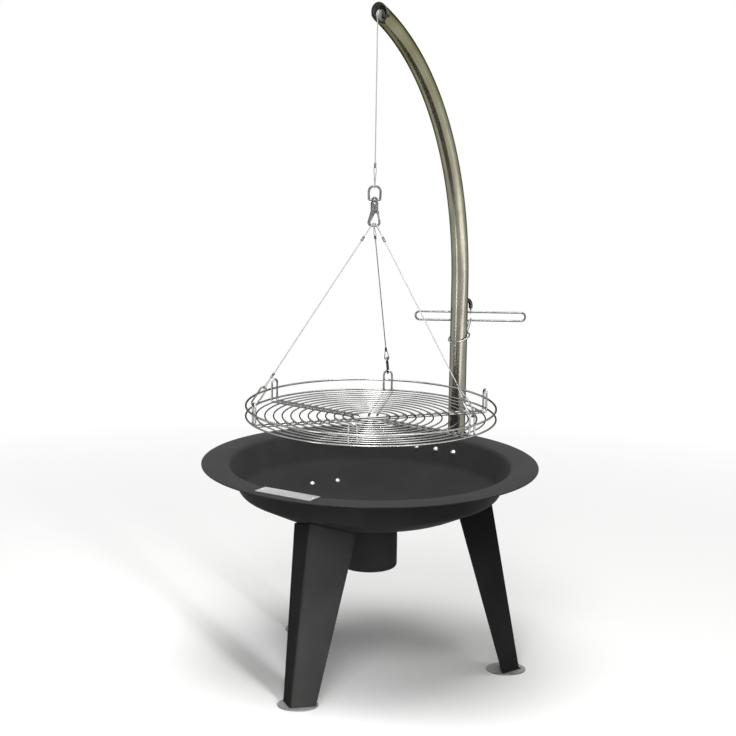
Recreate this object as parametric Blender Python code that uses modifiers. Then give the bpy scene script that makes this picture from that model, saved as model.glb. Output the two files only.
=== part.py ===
"""Tripod swing grill: a fire bowl on three folded legs, a bent mast that turns in a socket
behind the rim, and a round grate hung from the mast by a wire hoist.

Metres, +Z up. The origin is on the ground under the bowl's centre, and -Y is the front."""

import bpy
import bmesh
from math import acos, asin, atan, atan2, cos, degrees, hypot, pi, radians, sin, sqrt, tan
from mathutils import Matrix, Vector

# Clearances
GAP = 0.0003            # between pieces that touch
BOLT_SEAT = 0.0008      # under a bolt's head and nut, on curved sheet
BOLT_PLAY = 0.0005      # round a bolt's shank
MAST_PLAY = 0.0005      # round the mast in its socket
BORE_PLAY = 0.0002      # round the pulley's axle and the gate's pin

# Fire bowl: corners of its upper surface, as radius and depth under the rim
RIM_R = 0.400
RIM_Z = 0.504
FLANGE_W = 0.065
WALL_LEAN = 0.030
WALL_FOOT_DEPTH = 0.067
DISH_W = 0.090
DISH_DEPTH = 0.108
FLOOR_W = 0.095
FLOOR_DEPTH = 0.1225
ASH_HOLE_R = 0.030
BOWL_DEPTH = 0.125
BOWL_SHEET = 0.003
FLANGE_FILLET = 0.012
WALL_FILLET = 0.030
BOWL_STEPS = 48

# Ash pot under the bowl
POT_R = 0.068
POT_COLLAR_W = 0.012
POT_BOTTOM_Z = 0.2535
POT_SHEET = 0.0018
POT_FILLET = 0.008

# Name plate on the flange
PLATE_L = 0.152
PLATE_W = 0.044
PLATE_T = 0.0015
PLATE_AZ = 238.0
PLATE_IN = 0.048         # its middle from the rim's edge
PLATE_CORNER = 0.003

# Legs: folded sheet, an open V with its fold outwards
LEG_AZ = {"right": 0.0, "rear": 118.0, "front": 242.0}
LEG_TOP_IN = 0.015      # the fold's top from the wall's foot
LEG_SPLAY = 0.078       # the fold's foot from its top
LEG_WING_TOP = 0.116
LEG_WING_FOOT = 0.060
LEG_FOLD = 90.0
LEG_SHEET = 0.003
LEG_TOP_PLAY = 0.0013
FOOT_DISC_R = 0.0475
FOOT_DISC_T = 0.003
FOOT_DISC_IN = 0.033    # its middle from the fold
LUG_T = 0.004
LUG_DEPTH = 0.0715      # its inner edge from the fold
LUG_START = 0.028
LEG_BOLT_IN = 0.055
LEG_BOLT_SPREAD = 0.0345

# Bolts: domed head inside the bowl, nut outside
BOLT_R = 0.004
BOLT_HEAD_R = 0.0065
BOLT_HEAD_H = 0.0042
BOLT_END = 0.003
NUT_R = 0.0072
NUT_H = 0.0062

# Mast
MAST_AZ = 60.0
MAST_OUT = 0.028        # its axis from the rim's edge
MAST_R = 0.0212
MAST_WALL = 0.0026
MAST_STRAIGHT_Z = 0.868
MAST_BEND_R = 0.800
MOUTH_AT = 0.009
MOUTH_TRIM_R = 0.0018

# Socket and bracket behind the bowl
SOCKET_WALL = 0.0035
SOCKET_BOTTOM_Z = 0.385
SOCKET_TOP_Z = 0.496
SOCKET_FLOOR = 0.004
BRACKET_T = 0.004
BRACKET_TOP = 0.010     # along the wall from the flange's corner
BRACKET_BOTTOM = 0.052
BRACKET_W = 0.140
ARM_BOTTOM_Z = 0.440
ARM_TOP_Z = 0.490
SOCKET_BOLT_DEPTH = 0.030
SOCKET_BOLT_PITCH = 0.0519

# Wire rope and pulley
CABLE_R = 0.0014
PULLEY_DROP = 0.0065     # its axle under the middle of the mouth
PULLEY_R = 0.0135
PULLEY_GROOVE_R = 0.0112
PULLEY_W = 0.009
GROOVE_BOTTOM = 0.0034
GROOVE_TOP = 0.0058
AXLE_R = 0.003
AXLE_SHOULDER_R = 0.0045
AXLE_SHOULDER_END = 0.016
AXLE_HEAD_R = 0.005
AXLE_HEAD_H = 0.0025
AXLE_SIDE_PLAY = 0.0005

# Cable outlet, pull handle and holding ring behind the mast
OUTLET_AZ = 40.0
OUTLET_REACH = 0.0374
OUTLET_R = 0.005
OUTLET_BORE_R = 0.0032
OUTLET_BEND_R = 0.0165
OUTLET_OVER_HANDLE = 0.0100
OUTLET_STRAIGHT = 0.0065
OUTLET_TURN = 75.0
OUTLET_ROOT = 0.012
ROPE_BEND = 0.008         # of the rope at the outlet's root
HANDLE_L = 0.277
HANDLE_PITCH = 0.021
HANDLE_R = 0.0025
HANDLE_TOP_Z = 0.7975
FERRULE_R = 0.0025
TAIL_FERRULE = (0.0043, 0.0110)     # over the handle's top wire
TAIL_EYE_TOP = 0.0057
TAIL_TOP = 0.0165
RING_R = 0.0265
RING_WIRE_R = 0.0020
RING_TILT = 20.0
RING_DROP = 0.0595       # under the handle's top wire
LINK_R = 0.0013
LINK_HALF_W = 0.0048
LINK_TURN = 60.0

# Swivel hook, in the XZ plane
HOIST_FERRULE_Z = (1.212, 1.2237)
HOIST_EYE_TOP_Z = 1.2135
BAIL_TOP_Z = 1.1698
BAIL_R = 0.0027
BAIL_HALF_W = 0.0138
BAIL_BAR_Z = 1.1372
BOSS_R = 0.0080
BOSS_H = 0.0075
STUD_R = 0.0026
STUD_HEAD_R = 0.0048
STUD_HEAD_H = 0.0032
SWIVEL_BODY_R = 0.0092
SWIVEL_BODY_BOTTOM_Z = 1.1110
SWIVEL_PLAY = 0.0004
HOOK_R = 0.0031
HOOK_BAR_Z = 1.0765
HOOK_HALF_W = 0.0125
HOOK_CORNER = 0.0075
HOOK_FLAT = 0.0045
HOOK_NOSE = 0.006
GATE_R = 0.0023
GATE_BARREL_R = 0.0030
GATE_BARREL_HALF = 0.0020
GATE_PIN_R = 0.0012
GATE_X = 0.0078
GATE_Z = 1.1078
EAR_T = 0.0020

# Suspension: three wire ropes with a snap connector each
CABLE_LOOPS = {"back": 82.0, "left": 199.5, "right": 324.0}
HOOK_SPREAD = {"back": 0.0, "left": -0.0062, "right": 0.0062}
EYE_PLAY = 0.0005
UPPER_EYE_L = 0.029
UPPER_FERRULE = (0.0215, 0.034)
LOWER_EYE_L = 0.032
LOWER_EYE_HALF_W = 0.0052
ROPE_FERRULE_R = 0.0031
ROPE_FERRULE_L = 0.013
CONNECTOR_R = 0.0020
CONNECTOR_L = 0.050
CONNECTOR_HALF_W = 0.0070
CONNECTOR_GATE = (0.0105, 0.0350)
SMALL_BARREL_R = 0.0025
SMALL_BARREL_HALF = 0.0022

# Grate
GRATE_R = 0.2955
GRATE_Z = 0.619
RAIL_Z = 0.644
RAIL_R = 0.0024
OUTER_RING_R = 0.00225
GRATE_RING_R = 0.00175
GRATE_PITCH = 0.0205
GRATE_FIRST_STEP = 0.0245
GRATE_RINGS = 12
RAIL_STEPS = 36
FRAME_AZ = {"a": 19.5, "b": 82.0, "c": 144.0}
FRAME_R = 0.0025
FRAME_HALF_W = 0.010
FRAME_BEND = 0.0045
FRAME_DIP_START = 0.042
FRAME_DIP_END = 0.027
FRAME_LOOP_TOP_Z = 0.668
FRAME_SIDE_PLAY = 0.0004

# Values that follow from the ones above
WALL_FOOT_R = RIM_R - FLANGE_W - WALL_LEAN
DISH_R = WALL_FOOT_R - DISH_W
FLOOR_R = DISH_R - FLOOR_W
PLATE_R = RIM_R - PLATE_IN
LEG_TOP_R = WALL_FOOT_R - LEG_TOP_IN
LEG_FOOT_R = LEG_TOP_R + LEG_SPLAY
FOOT_DISC_AT = LEG_FOOT_R - FOOT_DISC_IN
LUG_INNER_R = LEG_TOP_R - LUG_DEPTH
LUG_OUTER_R = LEG_TOP_R - LUG_START
LEG_BOLT_R = LEG_TOP_R - LEG_BOLT_IN
MAST_AT = RIM_R + MAST_OUT
MOUTH_TURN = acos(1 - (MAST_AT - MOUTH_AT) / MAST_BEND_R)
MOUTH_Z = MAST_STRAIGHT_Z + MAST_BEND_R * sin(MOUTH_TURN)
MAST_BEND_SWEEP = degrees(MOUTH_TURN + 1.6 * MAST_R / MAST_BEND_R)
PULLEY_Z = MOUTH_Z - PULLEY_DROP
OUTLET_END_Z = HANDLE_TOP_Z + OUTLET_OVER_HANDLE
OUTLET_BEND_Z = OUTLET_END_Z + OUTLET_STRAIGHT
TAIL_TOP_Z = HANDLE_TOP_Z + TAIL_TOP
TAIL_EYE_TOP_Z = HANDLE_TOP_Z + TAIL_EYE_TOP
TAIL_FERRULE_Z = tuple(HANDLE_TOP_Z + z for z in TAIL_FERRULE)
RING_Z = HANDLE_TOP_Z - RING_DROP
MAST_X = MAST_AT * cos(radians(MAST_AZ))
MAST_Y = MAST_AT * sin(radians(MAST_AZ))
SOCKET_R = MAST_R + MAST_PLAY + SOCKET_WALL
MAST_BOTTOM_Z = SOCKET_BOTTOM_Z + SOCKET_FLOOR + GAP
ROPE_ON_PULLEY = PULLEY_GROOVE_R + GAP + CABLE_R
HANDLE_LOW_Z = HANDLE_TOP_Z - HANDLE_PITCH
RING_SHIFT = RING_R * cos(radians(RING_TILT)) - MAST_R - RING_WIRE_R - GAP
LOOP_AT = GRATE_R * cos(pi / RAIL_STEPS) - RAIL_R - FRAME_R - FRAME_SIDE_PLAY
FRAME_Z = GRATE_Z - GRATE_RING_R - FRAME_R - GAP

parts = None
tools = None


def clear_scene():
    for obj in list(bpy.data.objects):
        bpy.data.objects.remove(obj, do_unlink=True)


def new_collection(name):
    coll = bpy.data.collections.new(name)
    bpy.context.scene.collection.children.link(coll)
    return coll


def finish(name, colour, roughness, metallic):
    material = bpy.data.materials.new(name)
    material.use_nodes = True
    shader = material.node_tree.nodes["Principled BSDF"]
    shader.inputs["Base Color"].default_value = (*colour, 1.0)
    shader.inputs["Roughness"].default_value = roughness
    shader.inputs["Metallic"].default_value = metallic
    return material


# Building helpers

def add_object(name, data, collection=None):
    obj = bpy.data.objects.new(name, data)
    (collection or tools).objects.link(obj)
    if collection is not parts:
        obj.hide_render = True
        obj.display_type = "WIRE"
    return obj


def as_tool(obj):
    for coll in list(obj.users_collection):
        coll.objects.unlink(obj)
    tools.objects.link(obj)
    obj.hide_render = True
    obj.display_type = "WIRE"
    return obj


def evaluated_mesh(obj, name):
    """The object's mesh with its modifiers, doubles merged, in its own coordinates."""
    bpy.context.view_layer.update()
    graph = bpy.context.evaluated_depsgraph_get()
    mesh = bpy.data.meshes.new_from_object(obj.evaluated_get(graph), depsgraph=graph)
    mesh.name = name
    bm = bmesh.new()
    bm.from_mesh(mesh)
    bmesh.ops.remove_doubles(bm, verts=bm.verts, dist=0.000001)
    bm.to_mesh(mesh)
    bm.free()
    return mesh


def bake(obj):
    """A mesh object in place of a curve or of a mesh with modifiers."""
    mesh = evaluated_mesh(obj, obj.name)
    place = obj.matrix_world.copy()
    name = obj.name
    bpy.data.objects.remove(obj, do_unlink=True)
    made = add_object(name, mesh)
    made.name = name
    made.matrix_world = place
    return made


def keep(name, obj, material):
    """Names a finished piece, gives it its finish and puts it among the parts."""
    obj.name = name
    obj.data.name = name
    obj.data.materials.clear()
    obj.data.materials.append(material)
    for coll in list(obj.users_collection):
        coll.objects.unlink(obj)
    parts.objects.link(obj)
    obj.hide_render = False
    obj.display_type = "TEXTURED"
    return obj


def keep_copy(name, mesh, material, place):
    obj = add_object(name, mesh)
    obj.matrix_world = place
    return keep(name, obj, material)


def boolean(target, operation, *others):
    for other in others:
        as_tool(other)
        modifier = target.modifiers.new(operation.title(), "BOOLEAN")
        modifier.operation = operation
        modifier.solver = "EXACT"
        modifier.object = other
    return target


def cylinder(name, radius, z0, z1, sides, place=Matrix.Identity(4)):
    bm = bmesh.new()
    bmesh.ops.create_cone(bm, cap_ends=True, segments=sides, radius1=radius, radius2=radius,
                          depth=z1 - z0, matrix=Matrix.Translation((0, 0, (z0 + z1) / 2)))
    mesh = bpy.data.meshes.new(name)
    bm.to_mesh(mesh)
    bm.free()
    obj = add_object(name, mesh)
    obj.matrix_world = place
    return obj


def box(name, low, high, place=Matrix.Identity(4)):
    size = Vector(high) - Vector(low)
    middle = (Vector(high) + Vector(low)) / 2
    bm = bmesh.new()
    bmesh.ops.create_cube(bm, size=1.0, matrix=Matrix.Translation(middle) @ Matrix.Diagonal((*size, 1)))
    mesh = bpy.data.meshes.new(name)
    bm.to_mesh(mesh)
    bm.free()
    obj = add_object(name, mesh)
    obj.matrix_world = place
    return obj


def turned(name, profile, steps, closed=False, angle=360.0):
    """A profile of (radius, height) points turned about Z; its outer side runs downwards."""
    mesh = bpy.data.meshes.new(name)
    count = len(profile)
    edges = [(i, i + 1) for i in range(count - 1)]
    if closed:
        edges.append((count - 1, 0))
    mesh.from_pydata([(r, 0, z) for r, z in profile], edges, [])
    obj = add_object(name, mesh)
    screw = obj.modifiers.new("Screw", "SCREW")
    screw.angle = radians(angle)
    screw.steps = steps
    screw.render_steps = steps
    screw.use_merge_vertices = angle == 360.0
    screw.merge_threshold = 0.000001
    screw.use_smooth_shade = True
    return obj


def wire(name, points, radius, closed=False, rounding=1):
    """A round wire along the points."""
    curve = bpy.data.curves.new(name, "CURVE")
    curve.dimensions = "3D"
    curve.bevel_depth = radius
    curve.bevel_resolution = rounding
    curve.use_fill_caps = not closed
    spline = curve.splines.new("POLY")
    spline.points.add(len(points) - 1)
    for point, at in zip(spline.points, points):
        point.co = (*at, 1)
    spline.use_cyclic_u = closed
    return add_object(name, curve)


def plate(name, outline, thickness):
    """A flat outline in the local XY plane, with half its thickness on each side."""
    curve = bpy.data.curves.new(name, "CURVE")
    curve.dimensions = "2D"
    curve.fill_mode = "BOTH"
    curve.extrude = thickness / 2
    spline = curve.splines.new("POLY")
    spline.points.add(len(outline) - 1)
    for point, at in zip(spline.points, outline):
        point.co = (*at, 0, 1)
    spline.use_cyclic_u = True
    return add_object(name, curve)


def arc(centre, radius, start, end, steps):
    """Points of an arc in a plane, its angles in degrees."""
    turns = [radians(start + (end - start) * i / steps) for i in range(steps + 1)]
    return [(centre[0] + radius * cos(t), centre[1] + radius * sin(t)) for t in turns]


def racetrack(half_w, low, high, steps=6):
    """A closed loop with round ends: (across, along), the ends' middles at low and high."""
    ends = arc((0, high - half_w), half_w, 0, 180, steps)
    ends += arc((0, low + half_w), half_w, 180, 360, steps)
    return ends


def rounded(corners, fillets, steps):
    """A chain of corners, each inner corner rounded to its fillet's radius."""
    out = [Vector(corners[0])]
    for i in range(1, len(corners) - 1):
        here = Vector(corners[i])
        if not fillets[i]:
            out.append(here)
            continue
        back = (Vector(corners[i - 1]) - here).normalized()
        ahead = (Vector(corners[i + 1]) - here).normalized()
        half = acos(max(-1.0, min(1.0, back.dot(ahead)))) / 2
        reach = fillets[i] / tan(half)
        centre = here + (back + ahead).normalized() * fillets[i] / sin(half)
        first = here + back * reach - centre
        last = here + ahead * reach - centre
        turn = atan2(first.x * last.y - first.y * last.x, first.dot(last))
        for k in range(steps[i] + 1):
            t = turn * k / steps[i]
            out.append(centre + Vector((first.x * cos(t) - first.y * sin(t),
                                        first.x * sin(t) + first.y * cos(t))))
    out.append(Vector(corners[-1]))
    return [tuple(p) for p in out]


def offset_down(points, distance):
    """The same chain moved to the under side by a sheet's thickness."""
    moved = []
    for i, (r, z) in enumerate(points):
        normals = []
        for j in (i - 1, i):
            if 0 <= j < len(points) - 1:
                run = Vector(points[j + 1]) - Vector(points[j])
                normals.append(Vector((-run.y, run.x)).normalized())
        middle = sum(normals, Vector((0, 0))).normalized()
        reach = distance / middle.dot(normals[0])
        moved.append((r + middle.x * reach, z + middle.y * reach))
    return moved


def height_at(points, radius):
    """Height and slope of a turned surface at a radius; the chain runs inwards."""
    for (r0, z0), (r1, z1) in zip(points, points[1:]):
        if r1 <= radius <= r0:
            slope = (z0 - z1) / (r0 - r1)
            return z1 + slope * (radius - r1), slope
    return points[-1][1], 0.0


def turn_z(degrees_):
    return Matrix.Rotation(radians(degrees_), 4, "Z")


def frame_matrix(origin, x_axis, z_axis):
    """A place whose local Z runs along z_axis and whose local X lies nearest to x_axis."""
    z = Vector(z_axis).normalized()
    y = z.cross(Vector(x_axis)).normalized()
    x = y.cross(z)
    place = Matrix((x, y, z)).transposed().to_4x4()
    place.translation = origin
    return place


def radial(azimuth, reach, height):
    return Vector((reach * cos(radians(azimuth)), reach * sin(radians(azimuth)), height))


# Bowl

def bowl_top():
    corners = [(RIM_R, RIM_Z), (RIM_R - FLANGE_W, RIM_Z), (WALL_FOOT_R, RIM_Z - WALL_FOOT_DEPTH),
               (DISH_R, RIM_Z - DISH_DEPTH), (FLOOR_R, RIM_Z - FLOOR_DEPTH),
               (ASH_HOLE_R, RIM_Z - BOWL_DEPTH)]
    fillets = [0, FLANGE_FILLET, WALL_FILLET, 0, 0, 0]
    return rounded(corners, fillets, [0, 2, 2, 0, 0, 0])


def bowl_place(radius, azimuth):
    """A place on the bowl's upper surface, its local Z square to the sheet."""
    height, slope = height_at(bowl_top(), radius)
    tilt = atan(slope)
    normal = radial(azimuth, -sin(tilt), cos(tilt))
    return frame_matrix(radial(azimuth, radius, height), radial(azimuth, 1, 0), normal)


def wall_point(along, out):
    """A point beside the bowl's wall: distance from the flange's corner, and outwards."""
    run = Vector((WALL_FOOT_R - RIM_R + FLANGE_W, -WALL_FOOT_DEPTH)).normalized()
    corner = Vector((RIM_R - FLANGE_W, RIM_Z))
    return tuple(corner + run * along + Vector((-run.y, run.x)) * out)


def leg_bolt_places():
    places = {}
    turn = degrees(asin(LEG_BOLT_SPREAD / LEG_BOLT_R))
    for leg, azimuth in LEG_AZ.items():
        for side, sign in (("a", -1), ("b", 1)):
            places[f"leg_bolt_{leg}_{side}"] = bowl_place(LEG_BOLT_R, azimuth + sign * turn)
    return places


def socket_bolt_places():
    slope = (RIM_R - FLANGE_W - WALL_FOOT_R) / WALL_FOOT_DEPTH
    radius = RIM_R - FLANGE_W - SOCKET_BOLT_DEPTH * slope
    step = degrees(SOCKET_BOLT_PITCH / radius)
    return {f"socket_bolt_{side}": bowl_place(radius, MAST_AZ + turn)
            for side, turn in (("a", -step), ("b", 0), ("c", step))}


def make_bowl(paint):
    top = bowl_top()
    under = offset_down(top, BOWL_SHEET)
    bowl = turned("bowl", under + top[::-1], BOWL_STEPS, closed=True)
    for name, place in {**leg_bolt_places(), **socket_bolt_places()}.items():
        hole = cylinder(f"hole_{name}", BOLT_R + BOLT_PLAY, -3 * BOWL_SHEET, BOWL_SHEET, 8, place)
        boolean(bowl, "DIFFERENCE", hole)
    keep("bowl", bowl, paint)


def make_ash_pot(paint):
    under = offset_down(bowl_top(), BOWL_SHEET)
    collar_r = POT_R + POT_COLLAR_W
    collar_z = height_at(under, collar_r)[0] - GAP
    neck_z = height_at(under, POT_R - POT_SHEET)[0] - GAP
    inner_r = POT_R - POT_SHEET
    floor_z = POT_BOTTOM_Z + POT_SHEET
    inside = [(0, floor_z)] + arc((inner_r - POT_FILLET, floor_z + POT_FILLET), POT_FILLET, 270, 360, 2)
    outer_fillet = POT_FILLET + POT_SHEET
    outside = arc((POT_R - outer_fillet, POT_BOTTOM_Z + outer_fillet), outer_fillet, 360, 270, 2)
    profile = inside + [(inner_r, neck_z), (collar_r, collar_z), (collar_r, collar_z - POT_SHEET),
                        (POT_R, neck_z - POT_SHEET)] + outside + [(0, POT_BOTTOM_Z)]
    keep("ash_pot", turned("ash_pot", profile, 24), paint)


def make_name_plate(metal):
    half_l = PLATE_L / 2 - PLATE_CORNER
    half_w = PLATE_W / 2 - PLATE_CORNER
    outline = []
    for x, y, start in ((half_w, half_l, 0), (-half_w, half_l, 90), (-half_w, -half_l, 180),
                        (half_w, -half_l, 270)):
        outline += arc((x, y), PLATE_CORNER, start, start + 90, 2)
    obj = plate("name_plate", outline, PLATE_T)
    obj.matrix_world = (turn_z(PLATE_AZ)
                        @ Matrix.Translation((PLATE_R, 0, RIM_Z + GAP + PLATE_T / 2)))
    keep("name_plate", bake(obj), metal)


# Legs

def leg_fold():
    """The fold's line in the leg's own plane, top and bottom."""
    under = offset_down(bowl_top(), BOWL_SHEET)
    top_z = height_at(under, LEG_TOP_R)[0] - LEG_TOP_PLAY
    return Vector((LEG_TOP_R, 0, top_z)), Vector((LEG_FOOT_R, 0, FOOT_DISC_T / 2))


def wing_point(across, down):
    """A point of one wing: share of its width, and share of its height at the fold."""
    top, foot = leg_fold()
    under = offset_down(bowl_top(), BOWL_SHEET)
    half = radians(LEG_FOLD / 2)
    side = Vector((-cos(half), sin(half), 0))
    width = LEG_WING_TOP + (LEG_WING_FOOT - LEG_WING_TOP) * down
    if down == 1:
        return foot + side * width * across
    share = 0.0
    for _ in range(4):
        point = top.lerp(foot, share) + side * width * across
        ceiling = height_at(under, hypot(point.x, point.y))[0] - LEG_TOP_PLAY
        share = (top.z - ceiling) / (top.z - foot.z)
    return top.lerp(foot, share) + side * width * across


def leg_sheet():
    """Half of the V as an open sheet, mirrored at the fold and given its thickness."""
    bm = bmesh.new()
    bmesh.ops.create_grid(bm, x_segments=3, y_segments=1, size=1)
    for vert in bm.verts:
        vert.co = wing_point((vert.co.x + 1) / 2, 1 if vert.co.y < 0 else 0)
    bmesh.ops.recalc_face_normals(bm, faces=bm.faces)
    if bm.faces[0].normal.x < 0:
        bmesh.ops.reverse_faces(bm, faces=bm.faces)
    mesh = bpy.data.meshes.new("leg_sheet")
    bm.to_mesh(mesh)
    bm.free()
    obj = add_object("leg_sheet", mesh)
    mirror = obj.modifiers.new("Mirror", "MIRROR")
    mirror.use_axis = (False, True, False)
    mirror.merge_threshold = 0.00001
    wall = obj.modifiers.new("Solidify", "SOLIDIFY")
    wall.thickness = LEG_SHEET
    wall.offset = 0
    wall.use_even_offset = True
    return bake(obj)


def leg_lug():
    """The bolting plate under the bowl, between the wings."""
    _, slope = height_at(bowl_top(), LEG_BOLT_R)
    tilt = atan(slope)
    middle = LEG_BOLT_R * cos(asin(LEG_BOLT_SPREAD / LEG_BOLT_R))
    spread = tan(radians(LEG_FOLD / 2))
    outline = []
    for r, sign in ((LUG_INNER_R, -1), (LUG_OUTER_R, -1), (LUG_OUTER_R, 1), (LUG_INNER_R, 1)):
        outline.append(((r - middle) / cos(tilt), sign * (LEG_TOP_R - r) * spread))
    obj = plate("leg_lug", outline, LUG_T)
    down = BOWL_SHEET + GAP + LUG_T / 2
    place = bowl_place(middle, 0)
    obj.matrix_world = place @ Matrix.Translation((0, 0, -down))
    return bake(obj)


def make_legs(paint):
    leg = leg_sheet()
    disc = cylinder("foot_disc", FOOT_DISC_R, 0, FOOT_DISC_T, 20,
                    Matrix.Translation((FOOT_DISC_AT, 0, 0)))
    boolean(leg, "UNION", leg_lug(), disc)
    for name, place in leg_bolt_places().items():
        if name.startswith("leg_bolt_right"):
            hole = cylinder(f"lug_{name}", BOLT_R + BOLT_PLAY, -4 * BOWL_SHEET, 0, 8, place)
            boolean(leg, "DIFFERENCE", hole)
    mesh = evaluated_mesh(leg, "leg")
    as_tool(leg)
    for name, azimuth in LEG_AZ.items():
        keep_copy(f"leg_{name}", mesh, paint, turn_z(azimuth))


# Bolts

def bolt_mesh(name, grip):
    """A domed bolt with its nut: the grip runs from the bowl's upper surface to the nut."""
    dome_r = (BOLT_HEAD_R ** 2 + BOLT_HEAD_H ** 2) / (2 * BOLT_HEAD_H)
    edge = degrees(asin(BOLT_HEAD_R / dome_r))
    centre = BOLT_SEAT + BOLT_HEAD_H - dome_r
    head = [(r, z) for r, z in arc((0, centre), dome_r, 90, 90 - edge, 2)]
    head[0] = (0, BOLT_SEAT + BOLT_HEAD_H)
    end = -grip - BOLT_SEAT - NUT_H - BOLT_END
    profile = head + [(BOLT_R, BOLT_SEAT), (BOLT_R, end), (0, end)]
    bolt = turned(name, profile, 8)
    nut = cylinder(name + "_nut", NUT_R, -grip - BOLT_SEAT - NUT_H, -grip - BOLT_SEAT, 6)
    boolean(bolt, "UNION", nut)
    mesh = evaluated_mesh(bolt, name)
    bpy.data.objects.remove(bolt, do_unlink=True)
    bpy.data.objects.remove(nut, do_unlink=True)
    return mesh


def make_bolts(zinc):
    rise = LEG_BOLT_R - LEG_BOLT_R * cos(asin(LEG_BOLT_SPREAD / LEG_BOLT_R))
    lug_grip = BOWL_SHEET + GAP + rise * sin(atan(height_at(bowl_top(), LEG_BOLT_R)[1])) + LUG_T
    leg_bolt = bolt_mesh("leg_bolt", lug_grip)
    for name, place in leg_bolt_places().items():
        keep_copy(name, leg_bolt, zinc, place)
    socket_bolt = bolt_mesh("socket_bolt", BOWL_SHEET + GAP + BRACKET_T)
    for name, place in socket_bolt_places().items():
        keep_copy(name, socket_bolt, zinc, place)


# Mast socket

def make_socket(paint):
    inner = BOWL_SHEET + GAP
    outer = inner + BRACKET_T
    profile = [wall_point(BRACKET_TOP, outer), wall_point(BRACKET_BOTTOM, outer),
               wall_point(BRACKET_BOTTOM, inner), wall_point(BRACKET_TOP, inner)]
    span = 4 * 360 / BOWL_STEPS
    back = turned("bracket_back", profile, 4, closed=True, angle=span)
    bm = bmesh.new()
    bm.from_mesh(evaluated_mesh(back, "bracket_back"))
    bmesh.ops.holes_fill(bm, edges=bm.edges)
    bmesh.ops.recalc_face_normals(bm, faces=bm.faces)
    mesh = bpy.data.meshes.new("mast_socket")
    bm.to_mesh(mesh)
    bm.free()
    bpy.data.objects.remove(back, do_unlink=True)
    socket = add_object("mast_socket", mesh)
    socket.matrix_world = turn_z(MAST_AZ - span / 2)
    width = box("bracket_width", (0, -BRACKET_W / 2, 0), (RIM_R, BRACKET_W / 2, RIM_Z), turn_z(MAST_AZ))
    boolean(socket, "INTERSECT", width)

    there = Matrix.Translation((MAST_X, MAST_Y, 0))
    body = cylinder("socket_body", SOCKET_R, SOCKET_BOTTOM_Z, SOCKET_TOP_Z, 24, there)
    bore = cylinder("socket_bore", MAST_R + MAST_PLAY, SOCKET_BOTTOM_Z + SOCKET_FLOOR,
                    SOCKET_TOP_Z + SOCKET_WALL, 24, there)
    arm_y = SOCKET_R - BRACKET_T
    arms = [box(f"socket_arm_{side}", (WALL_FOOT_R, min(side * arm_y, side * SOCKET_R), ARM_BOTTOM_Z),
                (MAST_AT, max(side * arm_y, side * SOCKET_R), ARM_TOP_Z), turn_z(MAST_AZ))
            for side in (-1, 1)]
    low, high = -FLANGE_W, WALL_FOOT_DEPTH + FLANGE_W
    middle = inner + BRACKET_T / 2
    inside = turned("bowl_envelope", [(0, wall_point(low, middle)[1]), wall_point(low, middle),
                                      wall_point(high, middle), (0, wall_point(high, middle)[1])],
                    BOWL_STEPS)
    for arm in arms:
        boolean(arm, "DIFFERENCE", inside)
    boolean(socket, "UNION", body, *arms)
    boolean(socket, "DIFFERENCE", bore)
    for name, place in socket_bolt_places().items():
        hole = cylinder(f"bracket_{name}", BOLT_R + BOLT_PLAY, -4 * BOWL_SHEET, 0, 8, place)
        boolean(socket, "DIFFERENCE", hole)
    keep("mast_socket", socket, paint)


# Mast

def mast_point(reach, height):
    return radial(MAST_AZ, reach, height)


def mast_line(offset=0.0, start=MAST_BOTTOM_Z, steps=14):
    """The mast's centre line; an offset moves it towards the outside of the bend."""
    points = [mast_point(MAST_AT + offset, start), mast_point(MAST_AT + offset, MAST_STRAIGHT_Z)]
    for i in range(1, steps + 1):
        t = radians(MAST_BEND_SWEEP) * i / steps
        reach = MAST_AT - MAST_BEND_R + (MAST_BEND_R + offset) * cos(t)
        points.append(mast_point(reach, MAST_STRAIGHT_Z + (MAST_BEND_R + offset) * sin(t)))
    return points


def mouth():
    """Height and slope of the mast's centre line where its mouth is cut."""
    return MOUTH_Z, MOUTH_TURN


def pulley_place():
    """Local Z along the pulley's axle, which lies across the mast's bend."""
    axle = radial(MAST_AZ + 90, 1, 0)
    return frame_matrix(mast_point(ROPE_ON_PULLEY, PULLEY_Z), (0, 0, 1), axle)


def outlet_line(extra=0.0):
    """The cable outlet's centre line, from its mouth up and into the mast."""
    centre = (OUTLET_REACH - OUTLET_BEND_R, OUTLET_BEND_Z)
    flat = [(OUTLET_REACH, OUTLET_END_Z - extra)] + arc(centre, OUTLET_BEND_R, 0, OUTLET_TURN, 6)
    turn = radians(OUTLET_TURN)
    reach = OUTLET_ROOT + extra
    flat.append((flat[-1][0] - sin(turn) * reach, flat[-1][1] + cos(turn) * reach))
    axis = Vector((MAST_X, MAST_Y, 0))
    return [axis + radial(OUTLET_AZ, q, z) for q, z in flat]


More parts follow.
